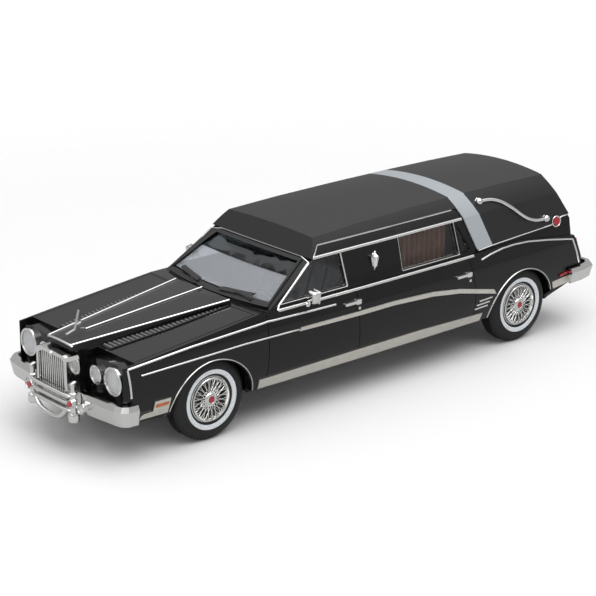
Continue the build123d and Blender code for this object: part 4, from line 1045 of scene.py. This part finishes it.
class HEARSE_OT_trim(bpy.types.Operator):
    """Roof strip, landau bars, lanterns, wiper arms, mirrors and windscreen tint"""

    bl_idname = "hearse.trim"
    bl_label = "Trim"

    def execute(self, context):
        self.roof_drip()
        self.landau()
        self.lanterns()
        self.wipers()
        self.mirror_faces()
        self.tint()
        return {"FINISHED"}

    def roof_drip(self):
        """Half-round bright strip over the windows and across the header."""
        mesh = bmesh.new()
        for side in (1, -1):
            line = [(14.7, 32.0), (14.0, 32.6), (13.3, 33.25), (12.6, 33.9)]
            line += [(12.0 - 1.6 * i, 33.92) for i in range(25)]
            starts = [(x, side * OUTSIDE, z) for x, z in line]
            bead(mesh, hits_on("body_shell", starts, (0, -side, 0)), *DRIP_SIZE)
        starts = [(60, 13.7 - 27.4 * i / 28, 31.72) for i in range(29)]
        bead(mesh, hits_on("body_shell", starts, -FORWARD), *HEADER_SIZE)
        strip = add_piece("roof_drip", mesh, "chrome")
        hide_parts("drip_strips")

    def landau(self):
        """S-shaped round bars that end in balls on small feet."""
        line = [(-34.9, 34.4), (-38.3, 34.2), (-41.2, 33.3), (-44.0, 31.5)]
        line += [(-46.4, 29.7), (-48.8, 28.2), (-51.6, 27.3), (-54.7, 27.1)]
        mesh = bmesh.new()
        for side in (1, -1):
            path = [(x, side_at(x, z, side, "vinyl_roof") + side * 0.42, z) for x, z in line]
            tube(mesh, smooth_path(path, 5), 0.40)
            for x, y, z in (path[0], path[-1]):
                ball(mesh, (x, y, z), 0.82)
                bar(mesh, (x, y, z), (x, y - side * 0.6, z), 0.55, 0.75, 16)
        bars = add_piece("landau_tubes", mesh, "chrome")
        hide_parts("landau_bars")

    def lanterns(self):
        """Small side lanterns: a tapered cage with pale panes, a cap and a tip."""
        cage, panes = bmesh.new(), bmesh.new()
        for side in (1, -1):
            x, z = LANTERN
            y = side_at(x, z, side, "body_shell") + side * 0.42
            centre = point(x, y, z)
            walls = [(0.38, -1.25), (0.76, 0.85), (0.90, 0.9), (0.90, 1.05), (0.40, 1.45)]
            walls += [(0.18, 1.75), (0.25, 1.9), (0.0, 2.2), (0.0, 0.9), (0.38, 0.85)]
            turned(cage, walls + [(0.28, -1.2)], centre, UP, 6)
            foot = [(0.0, -1.2), (0.50, -1.2), (0.42, -1.45), (0.14, -1.75), (0.12, -2.0)]
            turned(cage, foot + [(0.0, -2.2)], centre, UP, 12)
            for i in range(6):
                turn = math.radians(60 * i)
                start = (x + 0.50 * math.cos(turn), y + 0.50 * math.sin(turn), z - 1.2)
                end = (x + 0.86 * math.cos(turn), y + 0.86 * math.sin(turn), z + 0.9)
                bar(cage, start, end, 0.07, sides=6)
            turned(panes, [(0, -1.15), (0.44, -1.15), (0.76, 0.84), (0, 0.84)], centre, UP, 6)
            block(cage, (x, y - side * 0.35, z), (0.9, 0.25, 3.4), 0.08)
        lanterns = add_piece("lanterns", cage, "chrome")
        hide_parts("carriage_lamps")
        add_piece("lantern_panes", panes, "reflector", smooth=False)

    def wipers(self):
        """Arms from the cowl to the middle of each blade."""
        mesh = bmesh.new()
        cowl_x, cowl_z, cowl_half, swept_back = 30.2, 24.75, 17.0, 4.6
        for y_pivot, y_grip in ((-4.2, -8.6), (11.8, 7.1)):
            pivot = (cowl_x - swept_back * (y_pivot / cowl_half) ** 2, y_pivot, cowl_z)
            start = (60, y_grip, 25.42)
            grip = touch("wipers", start, -FORWARD) or touch("windscreen", start, -FORWARD)
            bar(mesh, pivot, (grip.x + 0.1, y_grip, 25.5), 0.15, 0.11)
            ball(mesh, pivot, 0.32)
        add_piece("wiper_arms", mesh, "wiper_black")

    def mirror_faces(self):
        """Rounded mirror heads on stems, with flat glass on the back."""
        heads, mesh = bmesh.new(), bmesh.new()
        middle, height, foot_x, foot_z = 20.35, 25.4, 18.4, 23.4
        for side in (1, -1):
            tilt = Matrix.Rotation(side * -0.12, 4, "X")
            block(heads, (18.3, side * middle, height), (1.8, 2.4, 2.6), 0.55, tilt, 4)
            block(heads, (17.55, side * middle, height), (0.3, 2.6, 2.75), 0.14, tilt, 3)
            y = side_at(foot_x, foot_z - 0.1, side, "body_shell")
            stem = [(foot_x, y, foot_z), (foot_x, y + side * 0.5, foot_z + 0.5)]
            tube(heads, stem + [(18.3, side * 20.0, 24.6)], 0.34)
            ball(heads, (foot_x, y + side * 0.1, foot_z), 0.62)
            block(mesh, (17.40, side * middle, height), (0.08, 2.1, 2.25), 0.03, tilt)
        heads = add_piece("mirror_heads", heads, "chrome")
        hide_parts("mirrors")
        add_piece("mirror_faces", mesh, "mirror")

    def tint(self):
        """Dark film along the top of the windscreen."""
        source = nodes["windscreen"]
        mesh = bmesh.new()
        mesh.from_mesh(source.data)
        mesh.transform(source.matrix_world)
        low, high = point(0, 0, 28.6), point(0, 0, 31.0)
        for place, way in ((low, -UP), (high, UP)):
            geometry = mesh.verts[:] + mesh.edges[:] + mesh.faces[:]
            bmesh.ops.bisect_plane(
                mesh, geom=geometry, plane_co=place, plane_no=way, clear_outer=True
            )
        mesh.normal_update()
        inner = [face for face in mesh.faces if face.normal.x < 0.4]
        bmesh.ops.delete(mesh, geom=inner, context="FACES")
        for vert in mesh.verts:
            vert.co += vert.normal * 0.03 * MM
        film = add_piece("windscreen_tint", mesh, "tint_band")
        thicken = film.modifiers.new("film", "SOLIDIFY")
        thicken.thickness = 0.02 * MM
        thicken.offset = 1.0


class HEARSE_OT_inside(bpy.types.Operator):
    """Seams of the front seat and dials of the dashboard"""

    bl_idname = "hearse.inside"
    bl_label = "Inside"

    def execute(self, context):
        seams = bmesh.new()
        for y in (-9.6, -4.8, 4.8, 9.6):
            bar(seams, (4.9, y, 12.8), (1.1, y, 24.2), 0.10, sides=6)
        add_piece("seat_seams", seams, "dash_plastic")
        dials = bmesh.new()
        for y in (5.2, 7.4, 9.6):
            dial = [(0, 0.06), (0.62, 0.06), (0.75, 0.16), (0.85, 0.0), (0, 0.0)]
            turned(dials, dial, point(22.66, y, 20.0), -FORWARD, 24)
        add_piece("dials", dials, "chrome")
        return {"FINISHED"}


class HEARSE_OT_below(bpy.types.Operator):
    """Pressed ribs and exhaust on the base plate, clear of its screw holes"""

    bl_idname = "hearse.below"
    bl_label = "Below"

    def execute(self, context):
        mesh = bmesh.new()
        height, half, width = 7.05, 8.6, 1.2
        for side in (1, -1):
            block(mesh, (0, side * half, height), (62.0, width, 0.5), 0.2)
        for x in (-28, -12, 10, 28):
            block(mesh, (x, 0, height), (width, 2 * half, 0.44), 0.18)
        add_piece("plate_ribs", mesh, "underside_black")
        mesh = bmesh.new()
        path = [(30, -4.8, 6.6), (16, -5.4, 6.5), (0, -5.6, 6.5), (-14, -5.6, 6.5)]
        tube(mesh, smooth_path(path + [(-29, -5.6, 6.6)], 4), 0.55)
        box = [(0.55, -5.2), (1.1, -4.8), (1.25, -4.0), (1.25, 4.0), (1.1, 4.8), (0.55, 5.2)]
        ends = [(0, 5.2), (0, -5.2)]
        turned(mesh, box + ends, point(-4.5, -5.6, 6.45), FORWARD, 32)
        add_piece("exhaust_relief", mesh, "axle_steel")
        return {"FINISHED"}


class HEARSE_PT_panel(bpy.types.Panel):
    """Settings and steps of the model"""

    bl_idname = "HEARSE_PT_panel"
    bl_label = "Hearse Scale Model"
    bl_space_type = "VIEW_3D"
    bl_region_type = "UI"
    bl_category = "Hearse"

    def draw(self, context):
        layout = self.layout
        for group in (context.scene.hearse_paint, context.scene.hearse_stage):
            for name in group.bl_rna.properties.keys():
                if name not in ("rna_type", "name"):
                    layout.prop(group, name)
        for step in STEPS:
            layout.operator(step.bl_idname)


STEPS = (
    HEARSE_OT_stage, HEARSE_OT_finishes, HEARSE_OT_edges, HEARSE_OT_strips, HEARSE_OT_wheels,
    HEARSE_OT_lamps, HEARSE_OT_front, HEARSE_OT_trim, HEARSE_OT_inside, HEARSE_OT_below,
)
CLASSES = (PaintSettings, StageSettings, *STEPS, HEARSE_PT_panel)


def register():
    for cls in CLASSES:
        bpy.utils.register_class(cls)
    bpy.types.Scene.hearse_paint = PointerProperty(type=PaintSettings)
    bpy.types.Scene.hearse_stage = PointerProperty(type=StageSettings)


def unregister():
    del bpy.types.Scene.hearse_paint
    del bpy.types.Scene.hearse_stage
    for cls in reversed(CLASSES):
        bpy.utils.unregister_class(cls)


def main():
    """Build the looks step by step."""
    register()
    for step in STEPS:
        group, call = step.bl_idname.split(".")
        getattr(getattr(bpy.ops, group), call)()


if __name__ == "__main__":
    main()
